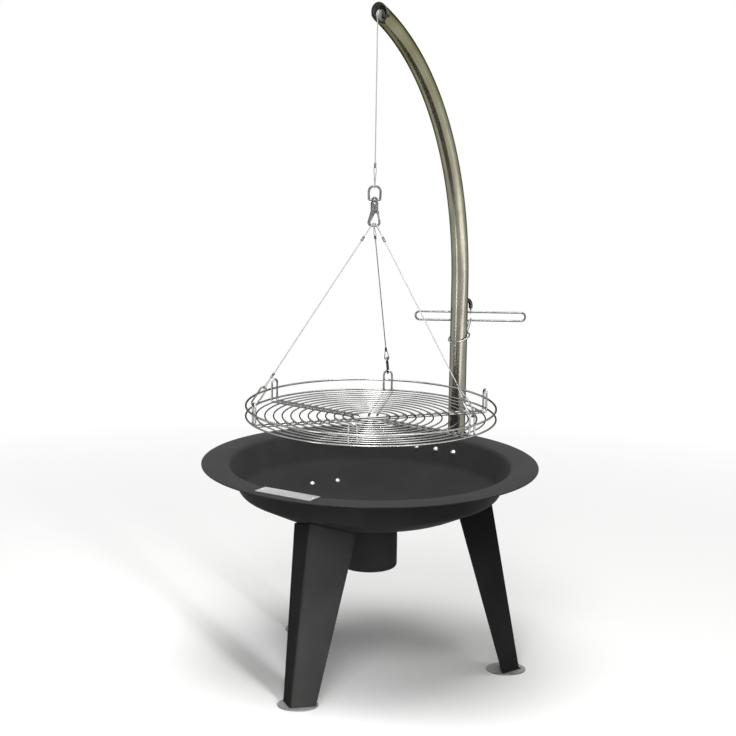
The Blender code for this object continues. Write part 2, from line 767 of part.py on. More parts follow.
def make_mast(steel, black, zinc, paint):
    mast = bake(wire("mast_tube", mast_line(), MAST_R, rounding=7))
    inner = mast_line(start=MAST_BOTTOM_Z - MAST_R)
    inner.append(inner[-1] + (inner[-1] - inner[-2]))
    bore = bake(wire("mast_bore", inner, MAST_R - MAST_WALL, rounding=4))
    mouth_z, lean = mouth()
    cut = box("mouth_cut", (-MAST_BEND_R, -MAST_R * 2, mouth_z - MAST_R * 3),
              (MOUTH_AT, MAST_R * 2, mouth_z + MAST_R * 3), turn_z(MAST_AZ))
    axle_hole = cylinder("axle_hole", AXLE_R + BOLT_PLAY, -MAST_R * 2, MAST_R * 2, 12, pulley_place())
    outlet_hole = bake(wire("outlet_hole", outlet_line(), OUTLET_R + GAP, rounding=2))
    boolean(mast, "DIFFERENCE", bore, cut, axle_hole, outlet_hole)
    keep("mast_tube", mast, steel)

    middle_r = MAST_R - MAST_WALL / 2
    trim_at = MOUTH_AT - GAP - MOUTH_TRIM_R
    trim_z = mouth_z + (MOUTH_AT - trim_at) / tan(lean)
    trim = []
    for i in range(16):
        t = 2 * pi * i / 16
        side = radial(MAST_AZ + 90, middle_r * cos(t), 0)
        trim.append(mast_point(trim_at, trim_z + middle_r / sin(lean) * sin(t)) + side)
    keep("mouth_trim", bake(wire("mouth_trim", trim, MOUTH_TRIM_R, closed=True)), black)

    outlet = bake(wire("cable_outlet", outlet_line(), OUTLET_R, rounding=2))
    outlet_bore = bake(wire("outlet_bore", outlet_line(OUTLET_R), OUTLET_BORE_R))
    boolean(outlet, "DIFFERENCE", outlet_bore)
    keep("cable_outlet", outlet, paint)

    half = PULLEY_W / 2
    profile = [(AXLE_R + BORE_PLAY, half), (PULLEY_R, half), (PULLEY_R, GROOVE_TOP / 2),
               (PULLEY_GROOVE_R, GROOVE_BOTTOM / 2), (PULLEY_GROOVE_R, -GROOVE_BOTTOM / 2),
               (PULLEY_R, -GROOVE_TOP / 2), (PULLEY_R, -half), (AXLE_R + BORE_PLAY, -half)]
    pulley = turned("pulley", profile, 16, closed=True)
    pulley.matrix_world = pulley_place()
    keep("pulley", pulley, zinc)

    shoulder = half + AXLE_SIDE_PLAY
    head = MAST_R + GAP
    flank = [(AXLE_R, shoulder), (AXLE_SHOULDER_R, shoulder), (AXLE_SHOULDER_R, AXLE_SHOULDER_END),
             (AXLE_R, AXLE_SHOULDER_END), (AXLE_R, head), (AXLE_HEAD_R, head),
             (AXLE_HEAD_R - AXLE_HEAD_H / 2, head + AXLE_HEAD_H), (0, head + AXLE_HEAD_H)]
    profile = flank[::-1] + [(r, -z) for r, z in flank]
    axle = turned("pulley_axle", profile, 10)
    axle.matrix_world = pulley_place()
    keep("pulley_axle", axle, zinc)


# Hoist

def rope_inside():
    """The hoist rope from the pulley's front, over it and down inside the mast to the outlet."""
    mouth_turn = acos(1 - (MAST_AT - ROPE_ON_PULLEY) / MAST_BEND_R)
    points = []
    for reach, z in arc((ROPE_ON_PULLEY, PULLEY_Z), ROPE_ON_PULLEY, 180, 90 - degrees(mouth_turn) + 33, 7):
        points.append(mast_point(reach, z))
    leave = points[-1]
    inner_side = -(MAST_R - MAST_WALL - CABLE_R) * 0.93
    for t in range(48, -1, -5):
        reach = MAST_AT - MAST_BEND_R + (MAST_BEND_R + inner_side) * cos(radians(t))
        points.append(mast_point(reach, MAST_STRAIGHT_Z + (MAST_BEND_R + inner_side) * sin(radians(t))))
    axis = Vector((MAST_X, MAST_Y, 0))
    centre_q = OUTLET_REACH - OUTLET_BEND_R
    turn = radians(OUTLET_TURN)
    root_q = centre_q + OUTLET_BEND_R * cos(turn) - sin(turn) * (OUTLET_ROOT + ROPE_BEND / 4)
    root_z = OUTLET_BEND_Z + OUTLET_BEND_R * sin(turn) + cos(turn) * (OUTLET_ROOT + ROPE_BEND / 4)
    for h in (0, 25, 50, OUTLET_TURN):
        q = root_q - ROPE_BEND * (cos(radians(h)) - cos(turn))
        z = root_z + ROPE_BEND * (sin(turn) - sin(radians(h)))
        points.append(axis + radial(OUTLET_AZ, q, z))
    for h in (OUTLET_TURN, 55, 35, 15):
        q = centre_q + OUTLET_BEND_R * cos(radians(h))
        points.append(axis + radial(OUTLET_AZ, q, OUTLET_BEND_Z + OUTLET_BEND_R * sin(radians(h))))
    points += [axis + radial(OUTLET_AZ, OUTLET_REACH, z) for z in (OUTLET_BEND_Z + CABLE_R * 2, TAIL_TOP_Z + GAP)]
    return points, leave


def loop_around(name, half_w, low, high, radius, place, steps=6):
    """A closed wire eye in the local XZ plane."""
    loop = wire(name, [(x, 0, z) for x, z in racetrack(half_w, low, high, steps)], radius, closed=True)
    loop.matrix_world = place
    return bake(loop)


def make_hoist(rope, zinc, steel):
    points, _ = rope_inside()
    keep("hoist_rope_inner", bake(wire("hoist_rope_inner", points, CABLE_R)), rope)

    drop = cylinder("hoist_rope_drop", CABLE_R, HOIST_FERRULE_Z[1] + GAP, PULLEY_Z - GAP, 8)
    keep("hoist_rope_drop", drop, rope)

    eye_low = BAIL_TOP_Z - BAIL_R - GAP - CABLE_R
    half_w = BAIL_R + EYE_PLAY + CABLE_R
    quarter = turn_z(90)
    eye = loop_around("hoist_eye", half_w, eye_low, HOIST_EYE_TOP_Z, CABLE_R, quarter, 4)
    boolean(eye, "UNION", cylinder("hoist_ferrule", ROPE_FERRULE_R, *HOIST_FERRULE_Z, 10))
    keep("hoist_eye", eye, rope)

    tail_xy = Vector((MAST_X, MAST_Y, 0)) + radial(OUTLET_AZ, OUTLET_REACH, 0)
    there = Matrix.Translation(tail_xy)
    tail = cylinder("pull_rope", CABLE_R, TAIL_FERRULE_Z[1] + GAP, TAIL_TOP_Z, 8, there)
    keep("pull_rope", tail, rope)

    eye_low = HANDLE_TOP_Z - HANDLE_R - GAP - CABLE_R
    half_w = HANDLE_R + EYE_PLAY + CABLE_R
    eye = loop_around("pull_eye", half_w, eye_low, TAIL_EYE_TOP_Z, CABLE_R, there @ quarter, 5)
    boolean(eye, "UNION", cylinder("pull_ferrule", FERRULE_R, *TAIL_FERRULE_Z, 10, there))
    keep("pull_eye", eye, rope)

    half = HANDLE_PITCH / 2
    flat = racetrack(half, -HANDLE_L / 2 + HANDLE_R, HANDLE_L / 2 - HANDLE_R)
    middle = tail_xy + Vector((0, 0, HANDLE_TOP_Z - half))
    handle = wire("pull_handle", [middle + Vector((along, 0, across)) for across, along in flat],
                  HANDLE_R, closed=True)
    keep("pull_handle", bake(handle), steel)

    axis = Vector((MAST_X, MAST_Y, 0))
    tilt = radians(RING_TILT)
    up = radial(OUTLET_AZ, cos(tilt), sin(tilt))
    across = radial(OUTLET_AZ + 90, 1, 0)
    centre = axis + radial(OUTLET_AZ, RING_SHIFT, RING_Z)
    ring = [centre + up * RING_R * cos(t) + across * RING_R * sin(t)
            for t in (2 * pi * i / 18 for i in range(18))]
    keep("holding_ring", bake(wire("holding_ring", ring, RING_WIRE_R, closed=True)), steel)

    top = tail_xy + Vector((0, 0, HANDLE_LOW_Z))
    bottom = centre + up * RING_R
    along = top - bottom
    place = frame_matrix(bottom, radial(LINK_TURN, 1, 0), along)
    low = -(RING_WIRE_R + EYE_PLAY + LINK_R)
    high = along.length + HANDLE_R + EYE_PLAY + LINK_R
    keep("ring_link", loop_around("ring_link", LINK_HALF_W, low, high, LINK_R, place, 4), rope)


# Swivel hook

def gate_mesh(name, length, bar_r, barrel_r, barrel_half, pin_r):
    """A spring gate: a barrel along local X at the origin, and its bar along local Z."""
    gate = cylinder(name, bar_r, 0, length, 8)
    across = Matrix.Rotation(pi / 2, 4, "Y")
    boolean(gate, "UNION", cylinder(name + "_barrel", barrel_r, -barrel_half, barrel_half, 10, across))
    if pin_r:
        hole = cylinder(name + "_bore", pin_r + BORE_PLAY, -barrel_half * 2, barrel_half * 2, 12, across)
        boolean(gate, "DIFFERENCE", hole)
    return gate


def hook_side():
    """The hook's closed side: from its lower corner up to the gate's pin, as (x, z)."""
    low = Vector((HOOK_HALF_W, HOOK_BAR_Z + HOOK_CORNER))
    high = Vector((GATE_X, GATE_Z))
    return low, (high - low).normalized(), (high - low).length


def make_swivel(zinc, steel):
    side_z = BAIL_BAR_Z + BAIL_R
    shoulder = BAIL_TOP_Z - BAIL_HALF_W
    outline = [(BAIL_HALF_W, side_z)] + arc((0, shoulder), BAIL_HALF_W, 0, 180, 8)
    outline += [(-BAIL_HALF_W, side_z), (-BAIL_HALF_W + BAIL_R, BAIL_BAR_Z),
                (BAIL_HALF_W - BAIL_R, BAIL_BAR_Z)]
    bail = bake(wire("swivel_eye", [(x, 0, z) for x, z in outline], BAIL_R, closed=True))
    boss_low = BAIL_BAR_Z - BOSS_H / 2
    boss_high = BAIL_BAR_Z + BOSS_H / 2
    boolean(bail, "UNION", cylinder("swivel_boss", BOSS_R, boss_low, boss_high, 16))
    boolean(bail, "DIFFERENCE", cylinder("stud_hole", STUD_R + SWIVEL_PLAY, boss_low - BOSS_R,
                                         boss_high + BOSS_R, 12))
    keep("swivel_eye", bail, zinc)

    stud_low = boss_high + SWIVEL_PLAY
    body_top = boss_low - SWIVEL_PLAY
    profile = [(0, stud_low + STUD_HEAD_H), (STUD_HEAD_R * 0.7, stud_low + STUD_HEAD_H),
               (STUD_HEAD_R, stud_low + STUD_HEAD_H * 0.4), (STUD_HEAD_R, stud_low), (STUD_R, stud_low),
               (STUD_R, body_top), (SWIVEL_BODY_R * 0.8, body_top),
               (SWIVEL_BODY_R, body_top - SWIVEL_BODY_R * 0.4),
               (SWIVEL_BODY_R, SWIVEL_BODY_BOTTOM_Z + SWIVEL_BODY_R * 0.3),
               (SWIVEL_BODY_R * 0.75, SWIVEL_BODY_BOTTOM_Z), (0, SWIVEL_BODY_BOTTOM_Z)]
    hook = bake(turned("swivel_hook", profile, 12))
    low, rise, length = hook_side()
    nose = low + rise * HOOK_NOSE
    corner = HOOK_HALF_W - HOOK_CORNER
    line = [(-SWIVEL_BODY_R * 0.3, SWIVEL_BODY_BOTTOM_Z + SWIVEL_BODY_R * 0.4),
            (-GATE_X, GATE_Z), (-HOOK_HALF_W, HOOK_BAR_Z + HOOK_CORNER)]
    line += arc((-corner, HOOK_BAR_Z + HOOK_CORNER), HOOK_CORNER, 180, 270, 4)[1:]
    line += arc((corner, HOOK_BAR_Z + HOOK_CORNER), HOOK_CORNER, 270, 360, 4)
    line.append(tuple(nose))
    bow = bake(wire("hook_bow", [(x, 0, z) for x, z in line], HOOK_R))
    inner = GATE_BARREL_HALF + SWIVEL_PLAY
    ears = [box(f"hook_ear_{side}", (GATE_X - GATE_BARREL_R, min(side * inner, side * (inner + EAR_T)),
                                     GATE_Z - GATE_BARREL_R),
                (GATE_X + GATE_BARREL_R * 0.6, max(side * inner, side * (inner + EAR_T)),
                 SWIVEL_BODY_BOTTOM_Z + SWIVEL_BODY_R * 0.35)) for side in (-1, 1)]
    pin_place = Matrix.Translation((GATE_X, 0, GATE_Z)) @ Matrix.Rotation(pi / 2, 4, "X")
    pin_half = inner + EAR_T * 0.8
    pin = cylinder("gate_pin", GATE_PIN_R, -pin_half, pin_half, 10, pin_place)
    boolean(hook, "UNION", bow, *ears, pin)
    keep("swivel_hook", hook, zinc)

    gate = gate_mesh("hook_gate", length - HOOK_NOSE - GAP, GATE_R, GATE_BARREL_R, GATE_BARREL_HALF,
                     GATE_PIN_R)
    down = Vector((-rise.x, 0, -rise.y))
    gate.matrix_world = frame_matrix((GATE_X, 0, GATE_Z), (0, 1, 0), down)
    gate = bake_world(gate)
    keep("hook_gate", gate, steel)


def bake_world(obj):
    """Applies an object's modifiers before its tools move with it."""
    place = obj.matrix_world.copy()
    obj.matrix_world = Matrix.Identity(4)
    obj = bake(obj)
    obj.matrix_world = place
    return obj


# Suspension

def suspension_place(name):
    """Local Z up the rope, local X along the grate's edge, origin on the loop's top bar."""
    azimuth = CABLE_LOOPS[name]
    foot = radial(azimuth, LOOP_AT, FRAME_LOOP_TOP_Z)
    head = Vector((HOOK_SPREAD[name], 0, HOOK_BAR_Z))
    run = head - foot
    return frame_matrix(foot, radial(azimuth + 90, 1, 0), run), run.length


def make_suspension(name, rope, zinc, steel):
    place, length = suspension_place(name)
    low = -(FRAME_R + GAP + CONNECTOR_R)
    high = low + CONNECTOR_L
    eye_low = high - CONNECTOR_R - EYE_PLAY - CABLE_R
    ferrule_low = eye_low + LOWER_EYE_L - CABLE_R
    eye = loop_around(f"lower_eye_{name}", LOWER_EYE_HALF_W, eye_low, eye_low + LOWER_EYE_L, CABLE_R,
                      Matrix.Identity(4), 3)
    half_w = HOOK_R + EYE_PLAY + CABLE_R
    bar = place.to_3x3().inverted() @ Vector((1, 0, 0))
    upper_top = length + half_w / sqrt(1 - bar.z ** 2)
    turn = Matrix.Rotation(atan2(bar.y, bar.x) + pi / 2, 4, "Z")
    upper = loop_around(f"upper_eye_{name}", half_w, upper_top - UPPER_EYE_L, upper_top, CABLE_R, turn, 3)
    rope_low = ferrule_low + ROPE_FERRULE_L / 2
    rope_high = length - sum(UPPER_FERRULE) / 2
    boolean(eye, "UNION",
            cylinder(f"lower_ferrule_{name}", ROPE_FERRULE_R, ferrule_low, ferrule_low + ROPE_FERRULE_L, 8),
            cylinder(f"rope_{name}", CABLE_R, rope_low, rope_high, 6),
            cylinder(f"upper_ferrule_{name}", ROPE_FERRULE_R, length - UPPER_FERRULE[1],
                     length - UPPER_FERRULE[0], 8),
            upper)
    eye = bake(eye)
    eye.matrix_world = place
    keep(f"hanger_rope_{name}", eye, rope)

    hinge, tip = CONNECTOR_GATE
    end_low = hinge - SMALL_BARREL_R - GAP
    line = [(CONNECTOR_HALF_W, tip + GAP)]
    line += arc((0, high - CONNECTOR_HALF_W), CONNECTOR_HALF_W, 0, 180, 5)
    line += arc((0, low + CONNECTOR_HALF_W), CONNECTOR_HALF_W, 180, 360, 5)
    line.append((CONNECTOR_HALF_W, end_low))
    body = bake(wire(f"connector_{name}", [(0, y, z) for y, z in line], CONNECTOR_R, rounding=1))
    body.matrix_world = place
    keep(f"connector_{name}", body, zinc)

    gate = gate_mesh(f"connector_gate_{name}", tip - hinge, CONNECTOR_R, SMALL_BARREL_R,
                     SMALL_BARREL_HALF, 0)
    gate = bake(gate)
    gate.matrix_world = place @ Matrix.Translation((0, CONNECTOR_HALF_W, hinge))
    keep(f"connector_gate_{name}", gate, steel)


# Grate

def ring_wire(name, radius, height, wire_r, segments, rounding=1):
    """A ring with the middle of a facet at each frame's end where its segments divide by six."""
    start = radians(FRAME_AZ["a"]) + pi / segments
    points = [(radius * cos(start + t), radius * sin(start + t), height)
              for t in (2 * pi * i / segments for i in range(segments))]
    return bake(wire(name, points, wire_r, closed=True, rounding=rounding))


def grate_frame(name, azimuth, dip):
    """Two cross wires in one bent loop, its ends bent up as eyes. The dip lets the frames cross."""
    bend = FRAME_BEND
    side = [(-LOOP_AT + bend, FRAME_Z)]
    if dip:
        side += [(-FRAME_DIP_START, FRAME_Z), (-FRAME_DIP_END, FRAME_Z - dip),
                 (FRAME_DIP_END, FRAME_Z - dip), (FRAME_DIP_START, FRAME_Z)]
    side += arc((LOOP_AT - bend, FRAME_Z + bend), bend, 270, 360, 2)
    loop_z = FRAME_LOOP_TOP_Z - FRAME_HALF_W
    top = arc((0, loop_z), FRAME_HALF_W, 0, 180, 5)
    half = [(u, FRAME_HALF_W, z) for u, z in side]
    half += [(LOOP_AT, t, z) for t, z in top]
    back = arc((LOOP_AT - bend, FRAME_Z + bend), bend, 360, 270, 2)
    half += [(u, -FRAME_HALF_W, z) for u, z in back[:-1]]
    points = [Vector(p) for p in half] + [Vector((-u, -t, z)) for u, t, z in half]
    loop = wire(name, [turn_z(azimuth) @ p for p in points], FRAME_R, closed=True)
    return bake(loop)


def make_grate(steel):
    keep("grate_rail", ring_wire("grate_rail", GRATE_R, RAIL_Z, RAIL_R, RAIL_STEPS), steel)
    keep("grate_outer_ring", ring_wire("grate_outer_ring", GRATE_R, GRATE_Z, OUTER_RING_R, RAIL_STEPS), steel)
    for i in range(GRATE_RINGS):
        radius = GRATE_R - GRATE_FIRST_STEP - i * GRATE_PITCH
        segments = max(14, round(radius * 100))
        name = f"grate_ring_{i + 1:02d}"
        keep(name, ring_wire(name, radius, GRATE_Z, GRATE_RING_R, segments, 0), steel)
    layer = 2 * FRAME_R + GAP
    for i, (name, azimuth) in enumerate(FRAME_AZ.items()):
        keep(f"grate_frame_{name}", grate_frame(f"grate_frame_{name}", azimuth, i * layer), steel)


def build():
    global parts, tools
    clear_scene()
    parts = new_collection("tripod_swing_grill")
    tools = new_collection("cutters")
    paint = finish("heatproof_black", (0.035, 0.035, 0.036), 0.6, 0.2)
    steel = finish("stainless", (0.62, 0.60, 0.56), 0.28, 1.0)
    wire_steel = finish("grate_wire", (0.66, 0.65, 0.63), 0.22, 1.0)
    zinc = finish("zinc", (0.66, 0.66, 0.65), 0.30, 1.0)
    rope = finish("wire_rope", (0.55, 0.55, 0.54), 0.35, 1.0)
    trim = finish("black_trim", (0.02, 0.02, 0.02), 0.7, 0.0)
    aluminium = finish("plate_aluminium", (0.72, 0.72, 0.71), 0.35, 1.0)

    make_bowl(paint)
    make_ash_pot(paint)
    make_name_plate(aluminium)
    make_legs(paint)
    make_bolts(zinc)
    make_socket(paint)
    make_mast(steel, trim, zinc, steel)
    make_hoist(rope, zinc, wire_steel)
    make_swivel(zinc, wire_steel)
    for name in CABLE_LOOPS:
        make_suspension(name, rope, zinc, wire_steel)
    make_grate(wire_steel)


build()
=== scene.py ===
import bpy
import bmesh
from math import acos, asin, atan, atan2, cos, degrees, hypot, pi, radians, sin, sqrt, tan
from mathutils import Matrix, Vector

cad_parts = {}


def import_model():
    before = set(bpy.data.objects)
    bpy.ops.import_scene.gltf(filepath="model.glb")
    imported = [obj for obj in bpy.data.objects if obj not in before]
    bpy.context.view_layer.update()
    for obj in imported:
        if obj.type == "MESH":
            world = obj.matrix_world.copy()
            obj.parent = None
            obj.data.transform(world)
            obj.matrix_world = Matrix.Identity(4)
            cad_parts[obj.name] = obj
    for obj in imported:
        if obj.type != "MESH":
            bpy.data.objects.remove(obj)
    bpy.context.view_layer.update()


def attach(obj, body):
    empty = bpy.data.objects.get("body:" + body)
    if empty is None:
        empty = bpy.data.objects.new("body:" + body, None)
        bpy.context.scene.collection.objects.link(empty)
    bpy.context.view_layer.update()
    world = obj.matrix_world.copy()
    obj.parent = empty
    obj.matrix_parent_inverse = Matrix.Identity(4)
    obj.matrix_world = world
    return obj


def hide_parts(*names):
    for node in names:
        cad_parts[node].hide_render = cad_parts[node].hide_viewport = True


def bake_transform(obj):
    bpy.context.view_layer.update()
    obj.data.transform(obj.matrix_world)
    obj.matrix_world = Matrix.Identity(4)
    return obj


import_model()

# Sizes of the grill, in metres
GAP = 0.0003             # between pieces that touch
EYE_PLAY = 0.0005        # inside an eye, round what it holds
ROUND_PLAY = 0.0004      # between the swivel's turning pieces
MERGE_WITHIN = 0.000002
ON_AXIS = 0.0001         # a turned profile's end
RIM_R, RIM_Z, BOWL_SHEET = 0.400, 0.504, 0.003
WALL_TOP_R, WALL_FOOT_R, WALL_DEPTH = 0.335, 0.305, 0.067
WALL_SLOPE = (WALL_TOP_R - WALL_FOOT_R) / WALL_DEPTH
BOWL_CORNERS = [(RIM_R, RIM_Z), (WALL_TOP_R, RIM_Z), (WALL_FOOT_R, RIM_Z - WALL_DEPTH),
                (0.215, 0.396), (0.120, 0.3815), (0.030, 0.379)]
BOWL_FILLETS = [0, 0.012, 0.030, 0.120, 0.200, 0]
POT_R, POT_SHEET, POT_BOTTOM_Z, POT_COLLAR_W, POT_CORNER = 0.068, 0.0018, 0.2535, 0.012, 0.008
PLATE_AZ, PLATE_R, PLATE_L, PLATE_W, PLATE_T = 238.0, 0.352, 0.152, 0.044, 0.0015
LEG_AZ = {"right": 0.0, "rear": 118.0, "front": 242.0}
LEG_TOP_R, LEG_FOOT_R, LEG_SHEET = 0.290, 0.368, 0.003
LEG_WING_TOP, LEG_WING_FOOT = 0.116, 0.060
FOOT_DISC_R, FOOT_DISC_T, FOOT_DISC_AT = 0.0475, 0.003, 0.335
LUG_INNER_R, LUG_OUTER_R, LUG_T = 0.2185, 0.262, 0.004
LEG_BOLT_R, LEG_BOLT_SPREAD, SOCKET_BOLT_PITCH = 0.235, 0.0345, 0.0519
HEAD_R, HEAD_H, NUT_R, NUT_H, WASHER_LOW = 0.0070, 0.0048, 0.0074, 0.0062, 0.0009
MAST_AZ, MAST_AT, MAST_R, MAST_WALL = 60.0, 0.428, 0.0212, 0.0026
MAST_BOTTOM_Z, MAST_STRAIGHT_Z, MAST_BEND_R, MAST_SWEEP = 0.3893, 0.868, 0.800, 64.0
MOUTH_AT = 0.009
MOUTH_TRIM_R, MOUTH_TRIM_OUT = 0.0015, 0.0018
SOCKET_R, SOCKET_BOTTOM_Z, SOCKET_TOP_Z = 0.0252, 0.385, 0.496
SOCKET_BORE_R, SOCKET_FLOOR, SOCKET_BOLT_DEPTH = MAST_R + 0.0005, 0.004, 0.030
BRACKET_T, BRACKET_TOP, BRACKET_BOTTOM, BRACKET_W, BRACKET_AT = 0.004, 0.010, 0.052, 0.140, 0.325
ARM_IN, ARM_WALL_END, ARM_BOTTOM_Z, ARM_TOP_Z = 0.3215, 0.33, 0.440, 0.490
ROPE_R, SLEEVE_R, SLEEVE_L = 0.0014, 0.0031, 0.013
PULLEY_Z, PULLEY_R, PULLEY_GROOVE_R, PULLEY_W = 1.56493, 0.0135, 0.0112, 0.009
ROPE_ON_PULLEY = PULLEY_GROOVE_R + GAP + ROPE_R
OUTLET_AZ, OUTLET_REACH, OUTLET_BEND_R, OUTLET_BEND_Z = 40.0, 0.0374, 0.0165, 0.814
OUTLET_R, OUTLET_WALL, OUTLET_END_Z, OUTLET_TURN, OUTLET_ROOT = 0.005, 0.0018, 0.8075, 75.0, 0.012
OUTLET_WELD_Z, OUTLET_WELD_HALF_H, OUTLET_WELD_HALF_W = 0.8295, 0.0056, 0.0054
ROPE_BEND = 0.008
HANDLE_TOP_Z, HANDLE_PITCH, HANDLE_L, HANDLE_R = 0.7975, 0.021, 0.277, 0.0025
TAIL_TOP_Z, TAIL_LOOP_TOP_Z, TAIL_SLEEVE_R, TAIL_SLEEVE_Z = 0.8140, 0.8032, 0.0025, (0.8018, 0.8085)
RING_R, RING_WIRE_R, RING_TILT, RING_Z = 0.0265, 0.0020, 20.0, 0.738
LINK_R, LINK_HALF_W = 0.0013, 0.0048
HOIST_SLEEVE_Z, HOIST_LOOP_TOP_Z = (1.212, 1.2237), 1.2135
BAIL_TOP_Z, BAIL_BAR_Z, BAIL_HALF_W, BAIL_R = 1.1698, 1.1372, 0.0138, 0.0027
BOSS_R, BOSS_H = 0.0080, 0.0075
HOOK_BAR_Z, HOOK_HALF_W, HOOK_CORNER, HOOK_R = 1.0765, 0.0125, 0.0075, 0.0031
HOOK_BODY_Z, HOOK_BODY_R, HOOK_NOSE = 1.1110, 0.0092, 0.006
GATE_X, GATE_Z, GATE_R, GATE_BARREL_R = 0.0078, 1.1078, 0.0023, 0.0030
HANGERS = {"back": (82.0, 0.0), "left": (199.5, -0.0062), "right": (324.0, 0.0062)}
UPPER_EYE_L, UPPER_SLEEVE = 0.039, (0.0305, 0.0430)
EYE_ROUND_L = 0.014      # of a hanger's eye, before it narrows to its ferrule
LOWER_EYE_L, LOWER_EYE_HALF_W = 0.032, 0.0052
SNAP_R, SNAP_L, SNAP_HALF_W, SNAP_GATE = 0.0020, 0.050, 0.0070, (0.0105, 0.0350)
SNAP_BARREL_R, SNAP_BARREL_HALF = 0.0025, 0.0022
GRATE_R, GRATE_Z, RAIL_Z, RAIL_R = 0.2955, 0.619, 0.644, 0.0024
EDGE_RING_R, RING_ROD_R, FIRST_RING_R, RING_PITCH = 0.00225, 0.00175, 0.271, 0.0205
FRAME_AZ = {"a": 19.5, "b": 82.0, "c": 144.0}
FRAME_R, FRAME_HALF_W, FRAME_BEND, LOOP_TOP_Z = 0.0025, 0.010, 0.0045, 0.668
FRAME_DIP, FRAME_DIP_START, FRAME_DIP_END = 2 * FRAME_R + GAP, 0.042, 0.027
LOOP_AT = GRATE_R * cos(pi / 36) - RAIL_R - FRAME_R - 0.0004
FRAME_Z = GRATE_Z - RING_ROD_R - FRAME_R - GAP
COOK_RINGS = 12
MAST_FOOT = Vector((MAST_AT * cos(radians(MAST_AZ)), MAST_AT * sin(radians(MAST_AZ)), 0))


def radial(azimuth, reach, height):
    return Vector((reach * cos(radians(azimuth)), reach * sin(radians(azimuth)), height))


def behind_mast(reach, height):
    """A point at the side of the mast where the rope comes out."""
    return MAST_FOOT + radial(OUTLET_AZ, reach, height)


def turn_z(angle):
    return Matrix.Rotation(radians(angle), 4, "Z")


def place_along(origin, x_axis, z_axis):
    z = Vector(z_axis).normalized()
    y = z.cross(Vector(x_axis)).normalized()
    place = Matrix((y.cross(z), y, z)).transposed().to_4x4()
    place.translation = origin
    return place


def arc(centre, radius, start, end, steps):
    turns = [radians(start + (end - start) * i / steps) for i in range(steps + 1)]
    return [(centre[0] + radius * cos(t), centre[1] + radius * sin(t)) for t in turns]


def racetrack(half_w, low, high, steps=12):
    return (arc((0, high - half_w), half_w, 0, 180, steps)
            + arc((0, low + half_w), half_w, 180, 360, steps))


def rounded(corners, fillets, step=8.0):
    """A chain of corners with fillets, one point every few degrees of turn."""
    out = [Vector(corners[0])]
    for i in range(1, len(corners) - 1):
        here = Vector(corners[i])
        back = (Vector(corners[i - 1]) - here).normalized()
        ahead = (Vector(corners[i + 1]) - here).normalized()
        half = acos(max(-1.0, min(1.0, back.dot(ahead)))) / 2
        reach = fillets[i] / tan(half)
        centre = here + (back + ahead).normalized() * fillets[i] / sin(half)
        first = here + back * reach - centre
        last = here + ahead * reach - centre
        turn = atan2(first.x * last.y - first.y * last.x, first.dot(last))
        steps = max(2, round(abs(degrees(turn)) / step))
        for k in range(steps + 1):
            t = turn * k / steps
            out.append(centre + Vector((first.x * cos(t) - first.y * sin(t),
                                        first.x * sin(t) + first.y * cos(t))))
    out.append(Vector(corners[-1]))
    return [tuple(p) for p in out]


def share_between(value, start, end):
    """How far the value has come from start to end, from 0 to 1."""
    return max(0.0, min(1.0, (value - start) / (end - start)))


BOWL_TOP = rounded(BOWL_CORNERS, BOWL_FILLETS)


def bowl_height(radius):
    """Height and slope of the bowl's upper surface."""
    for (r0, z0), (r1, z1) in zip(BOWL_TOP, BOWL_TOP[1:]):
        if r1 <= radius <= r0:
            slope = (z0 - z1) / max(r0 - r1, 1e-9)
            return z1 + slope * (radius - r1), slope
    return BOWL_TOP[-1][1], 0.0


def bowl_place(radius, azimuth):
    height, slope = bowl_height(radius)
    tilt = atan(slope)
    return place_along(radial(azimuth, radius, height), radial(azimuth, 1, 0),
                       radial(azimuth, -sin(tilt), cos(tilt)))


# Work in the modelling window

def clear_selection():
    if bpy.context.mode != "OBJECT":
        bpy.ops.object.mode_set(mode="OBJECT")
    bpy.ops.object.select_all(action="DESELECT")


def pick(piece):
    clear_selection()
    piece.select_set(True)
    bpy.context.view_layer.objects.active = piece


def added(name):
    """The piece that was just added, under its own name."""
    piece = bpy.context.object
    piece.name = name
    return piece


def edit(piece):
    pick(piece)
    bpy.ops.object.mode_set(mode="EDIT")
    bpy.ops.mesh.select_all(action="DESELECT")


def done():
    bpy.ops.object.mode_set(mode="OBJECT")
    return bpy.context.object


def select_all():
    bpy.ops.mesh.select_all(action="SELECT")


def merge_seams():
    select_all()
    bpy.ops.mesh.remove_doubles(threshold=MERGE_WITHIN)


def face_outwards():
    select_all()
    bpy.ops.mesh.normals_make_consistent(inside=False)


def select_where(kind, test):
    """Selects the verts, edges or faces of the piece in edit mode that pass the test."""
    bpy.ops.mesh.select_mode(type=kind)
    bpy.ops.mesh.select_all(action="DESELECT")
    mesh = bmesh.from_edit_mesh(bpy.context.object.data)
    for item in {"VERT": mesh.verts, "EDGE": mesh.edges, "FACE": mesh.faces}[kind]:
        if test(item):
            item.select_set(True)
    bmesh.update_edit_mesh(bpy.context.object.data)


def modify(piece, kind, **settings):
    """Adds a modifier and applies it."""
    pick(piece)
    modifier = piece.modifiers.new(kind.title(), kind)
    for key, value in settings.items():
        setattr(modifier, key, value)
    bpy.ops.object.modifier_apply(modifier=modifier.name)
    return piece


def ease_edges(piece, width, angle=50.0):
    """Rounds the sharp edges."""
    return modify(piece, "BEVEL", width=width, segments=2, limit_method="ANGLE",
                  angle_limit=radians(angle))


def thicken(piece, thickness, offset):
    return modify(piece, "SOLIDIFY", thickness=thickness, offset=offset, use_even_offset=True)


def soften(piece, angle=35.0):
    pick(piece)
    bpy.ops.object.shade_smooth_by_angle(angle=radians(angle))
    return piece


